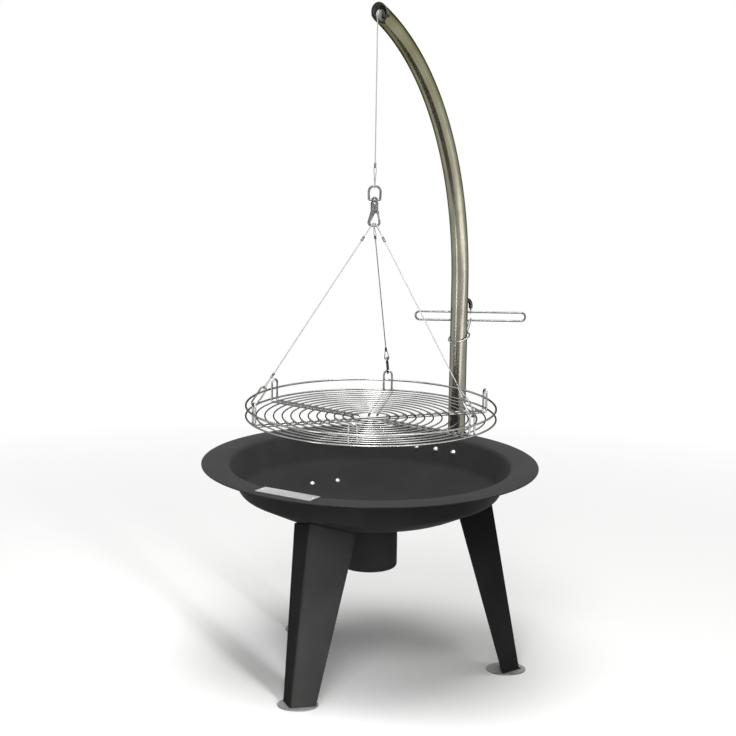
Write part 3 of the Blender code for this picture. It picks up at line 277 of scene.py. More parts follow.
def moved(piece, place):
    """Puts a piece modelled at the origin in its place, in its mesh."""
    piece.data.transform(place)
    if place.to_3x3().determinant() < 0:
        piece.data.flip_normals()
    piece.data.update()
    return piece


def copy_of(piece, name):
    twin = piece.copy()
    twin.data = piece.data.copy()
    twin.name = name
    bpy.context.scene.collection.objects.link(twin)
    return twin


def joined(first, *others):
    clear_selection()
    for piece in (first, *others):
        piece.select_set(True)
    bpy.context.view_layer.objects.active = first
    bpy.ops.object.join()
    return first


def drawn_line(points):
    """One vertex extruded from point to point, in the XZ plane."""
    clear_selection()
    bpy.ops.mesh.primitive_plane_add(size=0.01)
    piece = bpy.context.object
    bpy.ops.object.mode_set(mode="EDIT")
    bpy.ops.mesh.select_mode(type="VERT")
    select_all()
    bpy.ops.mesh.merge(type="CENTER")
    bpy.ops.transform.translate(value=(points[0][0], 0, points[0][1]))
    for (x0, z0), (x1, z1) in zip(points, points[1:]):
        bpy.ops.mesh.extrude_region_move(TRANSFORM_OT_translate={"value": (x1 - x0, 0, z1 - z0)})
    return piece


def turned(name, points, steps, closed=False):
    """A profile spun about Z and closed on itself; faces point outwards."""
    piece = drawn_line(points)
    piece.name = name
    select_all()
    if closed:
        select_where("VERT", lambda v: len(v.link_edges) == 1)
        bpy.ops.mesh.edge_face_add()
        select_all()
    bpy.ops.mesh.spin(steps=steps, angle=2 * pi, center=(0, 0, 0), axis=(0, 0, 1))
    merge_seams()
    face_outwards()
    return done()


def wire(name, points, radius, closed=False, sides=12, swell=None):
    """A round wire along the points, made a mesh; swell gives each point's share of the radius."""
    clear_selection()
    line = bpy.data.curves.new(name, "CURVE")
    line.dimensions = "3D"
    line.bevel_depth = radius
    line.bevel_resolution = max(0, (sides - 4) // 2)
    line.use_fill_caps = not closed
    spline = line.splines.new("POLY")
    spline.points.add(len(points) - 1)
    for i, (point, at) in enumerate(zip(spline.points, points)):
        point.co = (*at, 1)
        point.radius = swell[i] if swell else 1.0
    spline.use_cyclic_u = closed
    piece = bpy.data.objects.new(name, line)
    bpy.context.scene.collection.objects.link(piece)
    piece.select_set(True)
    bpy.context.view_layer.objects.active = piece
    bpy.ops.object.convert(target="MESH")
    piece = bpy.context.object
    edit(piece)
    merge_seams()
    done()
    return soften(piece, 40)


def rod(name, radius, z0, z1, sides=24, bevel=0.0003):
    """A round bar along Z with its rims bevelled."""
    clear_selection()
    bpy.ops.mesh.primitive_cylinder_add(vertices=sides, radius=radius, depth=z1 - z0)
    piece = moved(added(name), Matrix.Translation((0, 0, (z0 + z1) / 2)))
    edit(piece)
    select_where("EDGE", lambda e: abs(e.verts[0].co.z - e.verts[1].co.z) < 1e-6)
    bpy.ops.mesh.bevel(offset=bevel, segments=2)
    done()
    return soften(piece)


def slab(name, low, high, bevel=0.0006):
    """A flat bar with rounded edges."""
    clear_selection()
    bpy.ops.mesh.primitive_cube_add(size=1)
    piece = added(name)
    size = Vector(high) - Vector(low)
    middle = (Vector(high) + Vector(low)) / 2
    moved(piece, Matrix.Translation(middle) @ Matrix.Diagonal((*size, 1)))
    edit(piece)
    select_all()
    bpy.ops.mesh.bevel(offset=bevel, segments=2)
    done()
    return soften(piece)


def weld_bead(name, points, radius, closed=False):
    """A rippled bead of weld along a seam."""
    bead = wire(name, points, radius, closed, 8)
    for i, vert in enumerate(bead.data.vertices):
        ripple = sin(i * 2.1) * sin(i * 0.37 + 1.0)
        vert.co += vert.normal * radius * 0.12 * ripple
    return bead


# Finishes

def new_finish(name, colour, roughness, metallic=0.0):
    finish = bpy.data.materials.new(name)
    finish.use_nodes = True
    tree = finish.node_tree
    shader = tree.nodes["Principled BSDF"]
    shader.inputs["Base Color"].default_value = (*colour, 1)
    shader.inputs["Roughness"].default_value = roughness
    shader.inputs["Metallic"].default_value = metallic
    return finish, tree, shader


def node(tree, kind, settings=(), **inputs):
    made = tree.nodes.new(kind)
    for key, value in dict(settings).items():
        setattr(made, key, value)
    for key, value in inputs.items():
        socket = made.inputs[key.replace("_", " ")]
        if isinstance(value, bpy.types.NodeSocket):
            tree.links.new(value, socket)
        else:
            socket.default_value = value
    return made


def object_place(tree, scale=(1, 1, 1)):
    coordinates = node(tree, "ShaderNodeTexCoord")
    mapping = node(tree, "ShaderNodeMapping", Vector=coordinates.outputs["Object"], Scale=scale)
    return mapping.outputs["Vector"]


def noise(tree, place, scale, detail=4.0, roughness=0.55):
    return node(tree, "ShaderNodeTexNoise", Vector=place, Scale=scale, Detail=detail,
                Roughness=roughness).outputs["Fac"]


def ramp(tree, value, stops):
    made = node(tree, "ShaderNodeValToRGB", Fac=value)
    elements = made.color_ramp.elements
    while len(elements) < len(stops):
        elements.new(0.5)
    for element, (at, colour) in zip(elements, stops):
        element.position = at
        element.color = (*colour, 1) if len(colour) == 3 else colour
    return made.outputs["Color"]


def grey(tree, value, low, high, start=0.0, end=1.0):
    made = node(tree, "ShaderNodeMapRange", Value=value)
    made.inputs["From Min"].default_value = start
    made.inputs["From Max"].default_value = end
    made.inputs["To Min"].default_value = low
    made.inputs["To Max"].default_value = high
    return made.outputs["Result"]


def bump(tree, shader, height, strength, distance, under=None):
    made = node(tree, "ShaderNodeBump", Height=height, Strength=strength, Distance=distance)
    if under is not None:
        tree.links.new(under, made.inputs["Normal"])
    tree.links.new(made.outputs["Normal"], shader.inputs["Normal"])
    return made.outputs["Normal"]


def tint(tree, shader, value, *stops):
    tree.links.new(ramp(tree, value, stops), shader.inputs["Base Color"])


def rough(tree, shader, value, low, high):
    tree.links.new(grey(tree, value, low, high, 0.3, 0.7), shader.inputs["Roughness"])


def matt_black_paint():
    """Heatproof paint: fine orange peel, rubbed and dusty patches."""
    finish, tree, shader = new_finish("matt_black_paint", (0.034, 0.034, 0.034), 0.6)
    shader.inputs["Specular IOR Level"].default_value = 0.05
    place = object_place(tree)
    cloud = noise(tree, place, 9.0, 5.0, 0.6)
    tint(tree, shader, cloud, (0.30, (0.028, 0.028, 0.028)), (0.55, (0.034, 0.034, 0.034)),
         (0.75, (0.042, 0.042, 0.041)))
    rough(tree, shader, cloud, 0.56, 0.74)
    peel = bump(tree, shader, noise(tree, place, 420.0, 2.0), 0.12, 0.0004)
    bump(tree, shader, noise(tree, place, 55.0, 3.0), 0.06, 0.002, peel)
    return finish


def leg_paint():
    """The same paint on the legs, less rubbed."""
    finish, tree, shader = new_finish("leg_paint", (0.028, 0.028, 0.028), 0.70)
    shader.inputs["Specular IOR Level"].default_value = 0.015
    place = object_place(tree)
    cloud = noise(tree, place, 7.0, 5.0, 0.6)
    tint(tree, shader, cloud, (0.30, (0.022, 0.022, 0.022)), (0.70, (0.034, 0.034, 0.033)))
    rough(tree, shader, cloud, 0.62, 0.78)
    peel = bump(tree, shader, noise(tree, place, 380.0, 2.0), 0.10, 0.0004)
    bump(tree, shader, noise(tree, place, 30.0, 3.0), 0.05, 0.003, peel)
    return finish


def metal(name, dark, light, roughness, edge, cloud_scale, grain=None, depth=0.05, painted_reflection_top=None):
    """Bare metal: clouded colour and uneven gloss. Edge tints its reflection where it turns away (near
    black on the mast and the pipe: painted dark reflection), grain stretches the fine pattern, and the
    last argument is a painted reflection colour towards the mast's top."""
    middle = tuple((a + b) / 2 for a, b in zip(dark, light))
    finish, tree, shader = new_finish(name, middle, sum(roughness) / 2, 1.0)
    shader.inputs["Specular Tint"].default_value = (*edge, 1)
    cloud = noise(tree, object_place(tree), cloud_scale, 4.0)
    colour = ramp(tree, cloud, [(0.30, dark), (0.70, light)])
    # Painted reflection: from 0.85 m to 1.40 m high the colour blends into the yellower top colours.
    if painted_reflection_top:
        height = node(tree, "ShaderNodeSeparateXYZ", Vector=object_place(tree)).outputs["Z"]
        colour = node(tree, "ShaderNodeMixRGB", {"blend_type": "MIX"}, Color1=colour,
                      Color2=ramp(tree, cloud, [(0.30, painted_reflection_top[0]), (0.70, painted_reflection_top[1])]),
                      Fac=grey(tree, height, 0.0, 1.0, 0.85, 1.40)).outputs["Color"]
    tree.links.new(colour, shader.inputs["Base Color"])
    fine = noise(tree, object_place(tree, grain or (1, 1, 1)), 3.0 if grain else 160.0, 3.0, 0.7)
    rough(tree, shader, fine, *roughness)
    bump(tree, shader, fine, depth, 0.0002)
    return finish


def ground_stainless():
    """The mast: belt-ground tube, fine scratches round it, faint clouds. Its olive colours, yellower
    towards the top, and its near-black edge tint are painted reflection of the surroundings.
    """
    # Painted reflection: the olive colours, the yellower top colours and the near-black edge tint.
    return metal("ground_stainless", (0.225, 0.216, 0.176), (0.285, 0.276, 0.232), (0.15, 0.24),
                 (0.03, 0.03, 0.02), 14.0, (60, 60, 900), 0.10,
                 ((0.225, 0.212, 0.138), (0.295, 0.282, 0.198)))


def pipe_painted_dark_reflection():
    """The rope's outlet: bent pipe; its near-black olive colours and dark edge tint are painted shade and
    dark reflection.
    """
    return metal("pipe_painted_dark_reflection", (0.045, 0.042, 0.028), (0.095, 0.090, 0.064), (0.22, 0.34),
                 (0.05, 0.05, 0.04), 120.0)


def bright_wire():
    """Drawn and polished stainless wire."""
    return metal("bright_wire", (0.27, 0.269, 0.262), (0.40, 0.398, 0.388), (0.12, 0.22),
                 (0.16, 0.16, 0.155), 22.0)


def zinc_plate():
    """Zinc-plated fittings: cloudy, softly shining."""
    return metal("zinc_plate", (0.12, 0.12, 0.117), (0.24, 0.24, 0.235), (0.20, 0.32),
                 (0.10, 0.10, 0.10), 90.0, None, 0.08)


def bolt_steel():
    """Bright domed bolts."""
    return metal("bolt_steel", (0.66, 0.66, 0.65), (0.82, 0.82, 0.81), (0.28, 0.40),
                 (0.80, 0.80, 0.80), 120.0)


def dark_steel():
    """The pulley's pin, oiled and dark."""
    return metal("dark_steel", (0.05, 0.05, 0.048), (0.09, 0.09, 0.085), (0.30, 0.42),
                 (0.5, 0.5, 0.5), 120.0)


def strand_steel():
    """Stranded wire rope."""
    return metal("strand_steel", (0.34, 0.34, 0.335), (0.46, 0.46, 0.455), (0.45, 0.58),
                 (0.36, 0.36, 0.36), 900.0)


def pale_nylon():
    """The pulley's wheel."""
    finish, tree, shader = new_finish("pale_nylon", (0.34, 0.33, 0.30), 0.45)
    cloud = noise(tree, object_place(tree), 140.0, 3.0)
    tint(tree, shader, cloud, (0.3, (0.28, 0.27, 0.25)), (0.7, (0.40, 0.39, 0.36)))
    bump(tree, shader, cloud, 0.08, 0.0003)
    return finish


def tube_inside_painted_light():
    """The mast's inner wall: a dull diffuse grey, made lighter and green-tinged as painted light falling
    in through the mouth.
    """
    finish, tree, shader = new_finish("tube_inside_painted_light", (0.11, 0.12, 0.10), 0.6)
    cloud = noise(tree, object_place(tree), 60.0, 4.0)
    tint(tree, shader, cloud, (0.3, (0.08, 0.09, 0.07)), (0.7, (0.15, 0.16, 0.13)))
    bump(tree, shader, cloud, 0.10, 0.0006)
    return finish


def plate_aluminium():
    """Bare plate, brushed along its length."""
    finish, tree, shader = new_finish("plate_aluminium", (0.45, 0.45, 0.44), 0.30, 1.0)
    place = node(tree, "ShaderNodeMapping", {"vector_type": "TEXTURE"},
                 Vector=node(tree, "ShaderNodeTexCoord").outputs["Object"],
                 Rotation=(0, 0, radians(PLATE_AZ)), Scale=(0.0011, 0.08, 0.0011)).outputs["Vector"]
    streak = noise(tree, place, 1.0, 3.0)
    tint(tree, shader, streak, (0.30, (0.50, 0.50, 0.49)), (0.70, (0.66, 0.66, 0.65)))
    rough(tree, shader, streak, 0.24, 0.40)
    bump(tree, shader, streak, 0.06, 0.0002)
    return finish


def galvanised_sheet():
    """The foot plates: dull grey zinc, blotched and scuffed."""
    finish, tree, shader = new_finish("galvanised_sheet", (0.22, 0.22, 0.215), 0.45)
    place = object_place(tree)
    cloud = noise(tree, place, 60.0, 4.0, 0.65)
    tint(tree, shader, cloud, (0.3, (0.12, 0.12, 0.115)), (0.7, (0.30, 0.30, 0.29)))
    rough(tree, shader, cloud, 0.35, 0.60)
    bump(tree, shader, noise(tree, place, 400.0, 3.0), 0.10, 0.0003)
    return finish


def near_black_ring_finish():
    # A near-black finish, used only on the ring along the mast's mouth.
    finish, tree, shader = new_finish("near_black_ring_finish", (0.012, 0.012, 0.012), 0.55)
    fine = noise(tree, object_place(tree), 500.0, 2.0)
    rough(tree, shader, fine, 0.45, 0.65)
    bump(tree, shader, fine, 0.08, 0.0003)
    return finish


PAINT = matt_black_paint()
LEG_PAINT = leg_paint()
STAINLESS = ground_stainless()
PIPE_PAINTED_DARK = pipe_painted_dark_reflection()
WIRE = bright_wire()
ZINC = zinc_plate()
ROPE = strand_steel()
PLATE = plate_aluminium()
GALVANISED = galvanised_sheet()
MOUTH_RING_BLACK = near_black_ring_finish()
BOLT = bolt_steel()
DARK = dark_steel()
NYLON = pale_nylon()
INSIDE_PAINTED_LIGHT = tube_inside_painted_light()


def fit(piece, body, finish, slot, *stands_for):
    """Gives a finished piece its finish and the body it moves with."""
    piece.data.materials.clear()
    piece.data.materials.append(finish)
    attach(piece, body)
    if stands_for:
        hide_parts(*stands_for)
    return piece


# Fire bowl

def fire_bowl():
    bowl = turned("fire_bowl", BOWL_TOP, 144)
    rim_middle = (RIM_R + WALL_TOP_R) / 2
    rim = [p for p in bowl.data.polygons if hypot(p.center.x, p.center.y) > rim_middle]
    if sum(p.normal.z for p in rim) < 0:
        bowl.data.flip_normals()
    thicken(bowl, BOWL_SHEET, -1)
    ease_edges(bowl, 0.0007)
    fit(soften(bowl), "stand", PAINT, "black_paint", "bowl")


def ash_pot():
    collar_r = POT_R + POT_COLLAR_W
    under = BOWL_SHEET + GAP
    neck = bowl_height(POT_R)[0] - under
    collar = bowl_height(collar_r)[0] - under
    inner = POT_R - POT_SHEET
    bottom_z = POT_BOTTOM_Z + POT_SHEET
    outer_corner = POT_CORNER + POT_SHEET
    inside = [(ON_AXIS, bottom_z)]
    inside += arc((inner - POT_CORNER, bottom_z + POT_CORNER), POT_CORNER, 270, 360, 6)
    outside = arc((POT_R - outer_corner, POT_BOTTOM_Z + outer_corner), outer_corner, 360, 270, 6)
    profile = inside + [(inner, neck - 0.001), (collar_r, collar - 0.0004), (collar_r, collar - 0.0022),
                        (POT_R, neck - 0.0032)] + outside + [(ON_AXIS, POT_BOTTOM_Z)]
    pot = turned("ash_pot_cup", profile, 72, closed=True)
    fit(soften(pot), "stand", PAINT, "black_paint", "ash_pot")


def name_plate():
    clear_selection()
    bpy.ops.mesh.primitive_cube_add(size=1)
    plate = moved(added("bare_plate"), Matrix.Diagonal((PLATE_W, PLATE_L, PLATE_T, 1)))
    edit(plate)
    select_where("EDGE", lambda e: abs(e.verts[0].co.z - e.verts[1].co.z) > PLATE_T / 2)
    bpy.ops.mesh.bevel(offset=0.003, segments=5)
    select_where("FACE", lambda f: f.normal.z > 0.9)
    bpy.ops.mesh.inset(thickness=0.0006, depth=0)
    bpy.ops.transform.translate(value=(0, 0, 0.00015))
    done()
    moved(plate, turn_z(PLATE_AZ) @ Matrix.Translation((PLATE_R, 0, RIM_Z + GAP + PLATE_T / 2
                                                        - 0.00015)))
    fit(soften(plate), "stand", PLATE, "plate_metal", "name_plate")
    rivets = []
    for end in (-1, 1):
        rivet = turned("plate_rivet", [(ON_AXIS, 0.0011)] + arc((0, -0.0006), 0.0024, 70, 18, 4), 20)
        rivets.append(moved(rivet, turn_z(PLATE_AZ) @ Matrix.Translation(
            (PLATE_R, end * (PLATE_L / 2 - 0.007), RIM_Z + PLATE_T + 0.0001))))
    fit(soften(joined(*rivets)), "stand", PLATE, "plate_metal")


# Legs

def wing_point(across, down, side):
    """A point on a leg's wing at the right-hand leg."""
    top = Vector((LEG_TOP_R, 0, bowl_height(LEG_TOP_R)[0] - BOWL_SHEET - 0.0025))
    foot = Vector((LEG_FOOT_R, 0, FOOT_DISC_T - 0.0005))
    run = Vector((-cos(radians(45)), side * sin(radians(45)), 0)) * across
    share = 0.0
    for _ in range(6):
        high = top.lerp(foot, share) + run * LEG_WING_TOP
        ceiling = bowl_height(hypot(high.x, high.y))[0] - BOWL_SHEET - 0.0025
        share = (top.z - ceiling) / (top.z - foot.z)
    return high.lerp(foot + run * LEG_WING_FOOT, down)


def leg_sheet():
    """Two wings and a rounded fold, with the sheet's thickness."""
    clear_selection()
    bpy.ops.mesh.primitive_grid_add(x_subdivisions=9, y_subdivisions=8, size=2)
    leg = added("leg_sheet")
    for vert in leg.data.vertices:
        vert.co = wing_point((vert.co.x + 1) / 2, (1 - vert.co.y) / 2, 1)
    modify(leg, "MIRROR", use_axis=(False, True, False), merge_threshold=0.00001)
    edit(leg)
    face_outwards()
    select_where("EDGE", lambda e: all(abs(v.co.y) < 1e-6 for v in e.verts))
    bpy.ops.mesh.bevel(offset=0.0055, segments=5)
    done()
    if sum(p.normal.x for p in leg.data.polygons) < 0:
        leg.data.flip_normals()
    thicken(leg, LEG_SHEET, 0)
    ease_edges(leg, 0.0005)
    return soften(leg)


def foot_plate():
    disc = turned("foot_plate", [(ON_AXIS, FOOT_DISC_T), (FOOT_DISC_R - 0.0006, FOOT_DISC_T),
                                 (FOOT_DISC_R, FOOT_DISC_T - 0.0006), (FOOT_DISC_R, 0.0005),
                                 (FOOT_DISC_R - 0.0005, 0), (ON_AXIS, 0)], 64, closed=True)
    return soften(moved(disc, Matrix.Translation((FOOT_DISC_AT, 0, 0))))


def foot_weld():
    line = []
    for side in (-1, 1):
        run = [wing_point(a / 14, 1, side) for a in range(15)]
        line += run[::-1] if side < 0 else run[1:]
    out = [Vector((p.x + 0.0026, p.y, FOOT_DISC_T + 0.0006)) for p in line]
    return weld_bead("foot_weld", out, 0.0016)


def bolting_plate():
    """The plate between the wings that the bolts go through."""
    tilt = atan(bowl_height(LEG_BOLT_R)[1])
    middle = LEG_BOLT_R * cos(asin(LEG_BOLT_SPREAD / LEG_BOLT_R))
    clear_selection()
    bpy.ops.mesh.primitive_plane_add(size=2)
    lug = added("bolting_plate")
    for vert in lug.data.vertices:
        r = LUG_OUTER_R if vert.co.x > 0 else LUG_INNER_R
        side = 1 if vert.co.y > 0 else -1
        vert.co = ((r - middle) / cos(tilt), side * (LEG_TOP_R - 0.003 - r), 0)
    modify(lug, "SOLIDIFY", thickness=LUG_T, offset=0)
    ease_edges(lug, 0.0006)
    moved(lug, bowl_place(middle, 0) @ Matrix.Translation((0, 0, -BOWL_SHEET - GAP - LUG_T / 2)))
    return soften(lug)


def legs():
    sheet, disc, weld, lug = leg_sheet(), foot_plate(), foot_weld(), bolting_plate()
    for name, azimuth in LEG_AZ.items():
        turn = turn_z(azimuth)
        last = name == "front"
        pieces = [piece if last else copy_of(piece, piece.name) for piece in (sheet, disc, weld, lug)]
        for piece in pieces:
            moved(piece, turn)
            piece.name = f"{piece.name.split('.')[0]}_{name}"
        fit(pieces[0], "stand", LEG_PAINT, "black_paint", f"leg_{name}")
        fit(pieces[1], "stand", GALVANISED, "black_paint")
        fit(pieces[2], "stand", LEG_PAINT, "black_paint")
        fit(pieces[3], "stand", LEG_PAINT, "black_paint")


# Bolts

def bolt(name, grip):
    """A domed bolt, its nut and washer, pointing down from the origin."""
    dome_r = (HEAD_R ** 2 + HEAD_H ** 2) / (2 * HEAD_H)
    edge = degrees(asin(HEAD_R / dome_r))
    head = [(max(r, ON_AXIS), z) for r, z in arc((0, GAP + HEAD_H - dome_r), dome_r, 90, 90 - edge, 8)]
    end = -grip - 0.0098
    profile = head + [(HEAD_R - 0.0003, 0.0001), (0.004, 0.0001), (0.004, end + 0.0006),
                      (0.0034, end), (ON_AXIS, end)]
    shank = turned(name, profile, 32)
    clear_selection()
    bpy.ops.mesh.primitive_cylinder_add(vertices=6, radius=NUT_R, depth=NUT_H)
    nut = moved(added("nut"), Matrix.Translation((0, 0, -grip - WASHER_LOW - NUT_H / 2)))
    edit(nut)
    select_all()
    bpy.ops.mesh.bevel(offset=0.0005, segments=2)
    done()
    washer = turned("washer", [(0.0042, -grip - 0.0002), (0.0082, -grip - 0.0002),
                               (0.0082, -grip - WASHER_LOW), (0.0042, -grip - WASHER_LOW)], 32,
                    closed=True)
    return soften(joined(shank, nut, washer))


def bolts():
    turn = degrees(asin(LEG_BOLT_SPREAD / LEG_BOLT_R))
    proto = bolt("leg_bolt", BOWL_SHEET + 0.0048)
    for leg, azimuth in LEG_AZ.items():
        for side, sign in (("a", -1), ("b", 1)):
            one = copy_of(proto, f"leg_bolt_head_{leg}_{side}")
            moved(one, bowl_place(LEG_BOLT_R, azimuth + sign * turn))
            fit(one, "stand", BOLT, "zinc_steel", f"leg_bolt_{leg}_{side}")
    bpy.data.objects.remove(proto)
    proto = bolt("socket_bolt", BOWL_SHEET + 0.0046)
    radius = WALL_TOP_R - SOCKET_BOLT_DEPTH * WALL_SLOPE
    step = degrees(SOCKET_BOLT_PITCH / radius)
    for side, turn in (("a", -step), ("b", 0), ("c", step)):
        one = copy_of(proto, f"socket_bolt_head_{side}")
        moved(one, bowl_place(radius, MAST_AZ + turn))
        fit(one, "stand", BOLT, "zinc_steel", f"socket_bolt_{side}")
    bpy.data.objects.remove(proto)


# Mast socket

def wall_point(along, out):
    run = Vector((WALL_FOOT_R - WALL_TOP_R, -WALL_DEPTH)).normalized()
    corner = Vector((WALL_TOP_R, RIM_Z))
    return corner + run * along + Vector((-run.y, run.x)) * out


def socket_back_plate():
    """The curved plate on the outside of the bowl's wall."""
    inner = BOWL_SHEET + GAP
    outline = [wall_point(BRACKET_TOP, inner + BRACKET_T), wall_point(BRACKET_BOTTOM, inner + BRACKET_T),
               wall_point(BRACKET_BOTTOM, inner), wall_point(BRACKET_TOP, inner)]
    half = degrees(asin(BRACKET_W / 2 / BRACKET_AT))
    plate = drawn_line([tuple(p) for p in outline])
    plate.name = "socket_back_plate"
    select_all()
    bpy.ops.mesh.edge_face_add()
    select_all()
    bpy.ops.mesh.spin(steps=20, angle=radians(2 * half), center=(0, 0, 0), axis=(0, 0, 1))
    merge_seams()
    face_outwards()
    done()
    top = max(v.co.y for v in plate.data.vertices)
    bottom = min(v.co.y for v in plate.data.vertices)
    turned_back = top < -bottom
    moved(plate, turn_z(MAST_AZ + (half if turned_back else -half)))
    ease_edges(plate, 0.0006)
    fit(soften(plate), "stand", PAINT, "black_paint", "mast_socket")


def socket_tube():
    """The closed tube that the mast stands and turns in."""
    profile = [(ON_AXIS, SOCKET_BOTTOM_Z), (SOCKET_R - 0.0012, SOCKET_BOTTOM_Z),
               (SOCKET_R, SOCKET_BOTTOM_Z + 0.0012), (SOCKET_R, SOCKET_TOP_Z - 0.0008),
               (SOCKET_R - 0.0008, SOCKET_TOP_Z), (SOCKET_BORE_R + 0.0006, SOCKET_TOP_Z),
               (SOCKET_BORE_R, SOCKET_TOP_Z - 0.0006), (SOCKET_BORE_R, SOCKET_BOTTOM_Z + SOCKET_FLOOR),
               (ON_AXIS, SOCKET_BOTTOM_Z + SOCKET_FLOOR)]
    tube = moved(turned("socket_tube", profile, 64), Matrix.Translation(MAST_FOOT))
    fit(soften(tube), "stand", PAINT, "black_paint")


def socket_arms():
    """The two arms from the back plate to the tube, welded at both ends."""
    inner = BOWL_SHEET + GAP
    beads = []
    for side in (-1, 1):
        y = side * (SOCKET_R - 0.002)
        arm = slab("socket_arm", (ARM_IN, y - 0.002, ARM_BOTTOM_Z), (MAST_AT, y + 0.002, ARM_TOP_Z))
        arm_end = wall_point(0, inner + 0.0035).x + 0.0012
        for vert in arm.data.vertices:
            if vert.co.x < ARM_WALL_END:
                vert.co.x = arm_end - (RIM_Z - vert.co.z) * WALL_SLOPE
        moved(arm, turn_z(MAST_AZ))
        fit(soften(arm), "stand", PAINT, "black_paint")
        heights = [ARM_BOTTOM_Z + 0.002 * (i + 1) for i in range(24)]
        seam_at = wall_point(0, inner + BRACKET_T).x + 0.0016
        for seam in ([(seam_at - (RIM_Z - z) * WALL_SLOPE, y + side * 0.0024, z) for z in heights],
                     [(MAST_AT - 0.0125, y + side * 0.0012, z) for z in heights]):
            beads.append(moved(weld_bead("socket_weld", seam, 0.0014), turn_z(MAST_AZ)))
    fit(joined(*beads), "stand", PAINT, "black_paint")


# Mast

def mast_point(reach, height):
    return radial(MAST_AZ, reach, height)


def mouth():
    t = acos(1 - (MAST_AT - MOUTH_AT) / MAST_BEND_R)
    return MAST_STRAIGHT_Z + MAST_BEND_R * sin(t), t


def distance_from_line(point):
    """From the mast's centre line, while the mast still stands at the right-hand side."""
    if point.z < MAST_STRAIGHT_Z:
        return hypot(point.x - MAST_AT, point.y)
    from_bend = Vector((point.x - MAST_AT + MAST_BEND_R, point.z - MAST_STRAIGHT_Z))
    return hypot(from_bend.length - MAST_BEND_R, point.y)


def mast():
    """A circle extruded up, spun through the bend and cut upright at the mouth."""
    clear_selection()
    bpy.ops.mesh.primitive_circle_add(vertices=64, radius=MAST_R, fill_type="NOTHING")
    tube = moved(added("mast_bent_tube"), Matrix.Translation((MAST_AT, 0, MAST_BOTTOM_Z)))
    edit(tube)
    bpy.ops.mesh.select_mode(type="EDGE")
    select_all()
    for _ in range(12):
        bpy.ops.mesh.extrude_region_move(TRANSFORM_OT_translate={
            "value": (0, 0, (MAST_STRAIGHT_Z - MAST_BOTTOM_Z) / 12)})
    bpy.ops.mesh.spin(steps=64, angle=radians(MAST_SWEEP),
                      center=(MAST_AT - MAST_BEND_R, 0, MAST_STRAIGHT_Z), axis=(0, 1, 0))
    merge_seams()
    select_all()
    bpy.ops.mesh.bisect(plane_co=(MOUTH_AT, 0, 0), plane_no=(1, 0, 0), clear_inner=True)
    face_outwards()
    done()
    low = [p for p in tube.data.polygons if p.center.z < MAST_STRAIGHT_Z]
    if sum((p.center - Vector((MAST_AT, 0, p.center.z))).dot(p.normal) for p in low) < 0:
        tube.data.flip_normals()
    thicken(tube, MAST_WALL, -1)
    ease_edges(tube, 0.0003)
    inner = [p.index for p in tube.data.polygons
             if distance_from_line(p.center) < MAST_R - MAST_WALL * 0.7]
    moved(tube, turn_z(MAST_AZ))
    fit(soften(tube), "mast", STAINLESS, "mast_steel", "mast_tube")
    # The inner wall's finish carries painted light: a lighter, green-tinged grey.
    tube.data.materials.append(INSIDE_PAINTED_LIGHT)
    for index in inner:
        tube.data.polygons[index].material_index = 1


def mouth_black_ring():
    # A near-black ring drawn along the cut edge of the mast's mouth.
    mouth_z, lean = mouth()
    middle = MAST_R - MAST_WALL / 2
    at = MOUTH_AT - GAP - MOUTH_TRIM_OUT
    z = mouth_z + (MOUTH_AT - at) / tan(lean)
    line = []
    for i in range(72):
        t = 2 * pi * i / 72
        side = radial(MAST_AZ + 90, middle * cos(t), 0)
        line.append(mast_point(at, z + middle / sin(lean) * sin(t)) + side)
    dark_ring = wire("mouth_black_ring", line, MOUTH_TRIM_R, closed=True)
    fit(dark_ring, "mast", MOUTH_RING_BLACK, "black_trim", "mouth_trim")


def pulley_place():
    return place_along(mast_point(ROPE_ON_PULLEY, PULLEY_Z), (0, 0, 1), radial(MAST_AZ + 90, 1, 0))


def pulley_and_axle():
    half = PULLEY_W / 2
    groove = arc((PULLEY_R - 0.0004, 0), 0.0023, 90 + 12, 270 - 12, 8)
    profile = [(0.0032, half), (0.0045, half), (0.0060, half - 0.0010), (0.0100, half - 0.0010),
               (0.0112, half), (PULLEY_R - 0.0004, half), (PULLEY_R, half - 0.0004)]
    profile += groove + [(PULLEY_R, -half + 0.0004), (PULLEY_R - 0.0004, -half), (0.0112, -half),
                         (0.0100, -half + 0.0010), (0.0060, -half + 0.0010), (0.0045, -half),
                         (0.0032, -half)]
    wheel = moved(turned("pulley_wheel", profile, 56, closed=True), pulley_place())
    fit(soften(wheel), "pulley", NYLON, "zinc_steel", "pulley")

    head = MAST_R + GAP
    flank = [(0.003, half + 0.0005), (0.0045, half + 0.0005), (0.0045, 0.0160), (0.003, 0.0160),
             (0.003, head), (0.0046, head), (0.0048, head + 0.0003), (0.0040, head + 0.0008),
             (0.0024, head + 0.0011), (ON_AXIS, head + 0.0012)]
    profile = flank[::-1] + [(r, -z) for r, z in flank]
    axle = moved(turned("pulley_pin", profile, 32), pulley_place())
    fit(soften(axle), "mast", DARK, "zinc_steel", "pulley_axle")


def outlet_line():
    centre = (OUTLET_REACH - OUTLET_BEND_R, OUTLET_BEND_Z)
    flat = [(OUTLET_REACH, OUTLET_END_Z)] + arc(centre, OUTLET_BEND_R, 0, OUTLET_TURN, 18)
    turn = radians(OUTLET_TURN)
    flat.append((flat[-1][0] - sin(turn) * OUTLET_ROOT, flat[-1][1] + cos(turn) * OUTLET_ROOT))
    return [behind_mast(q, z) for q, z in flat]


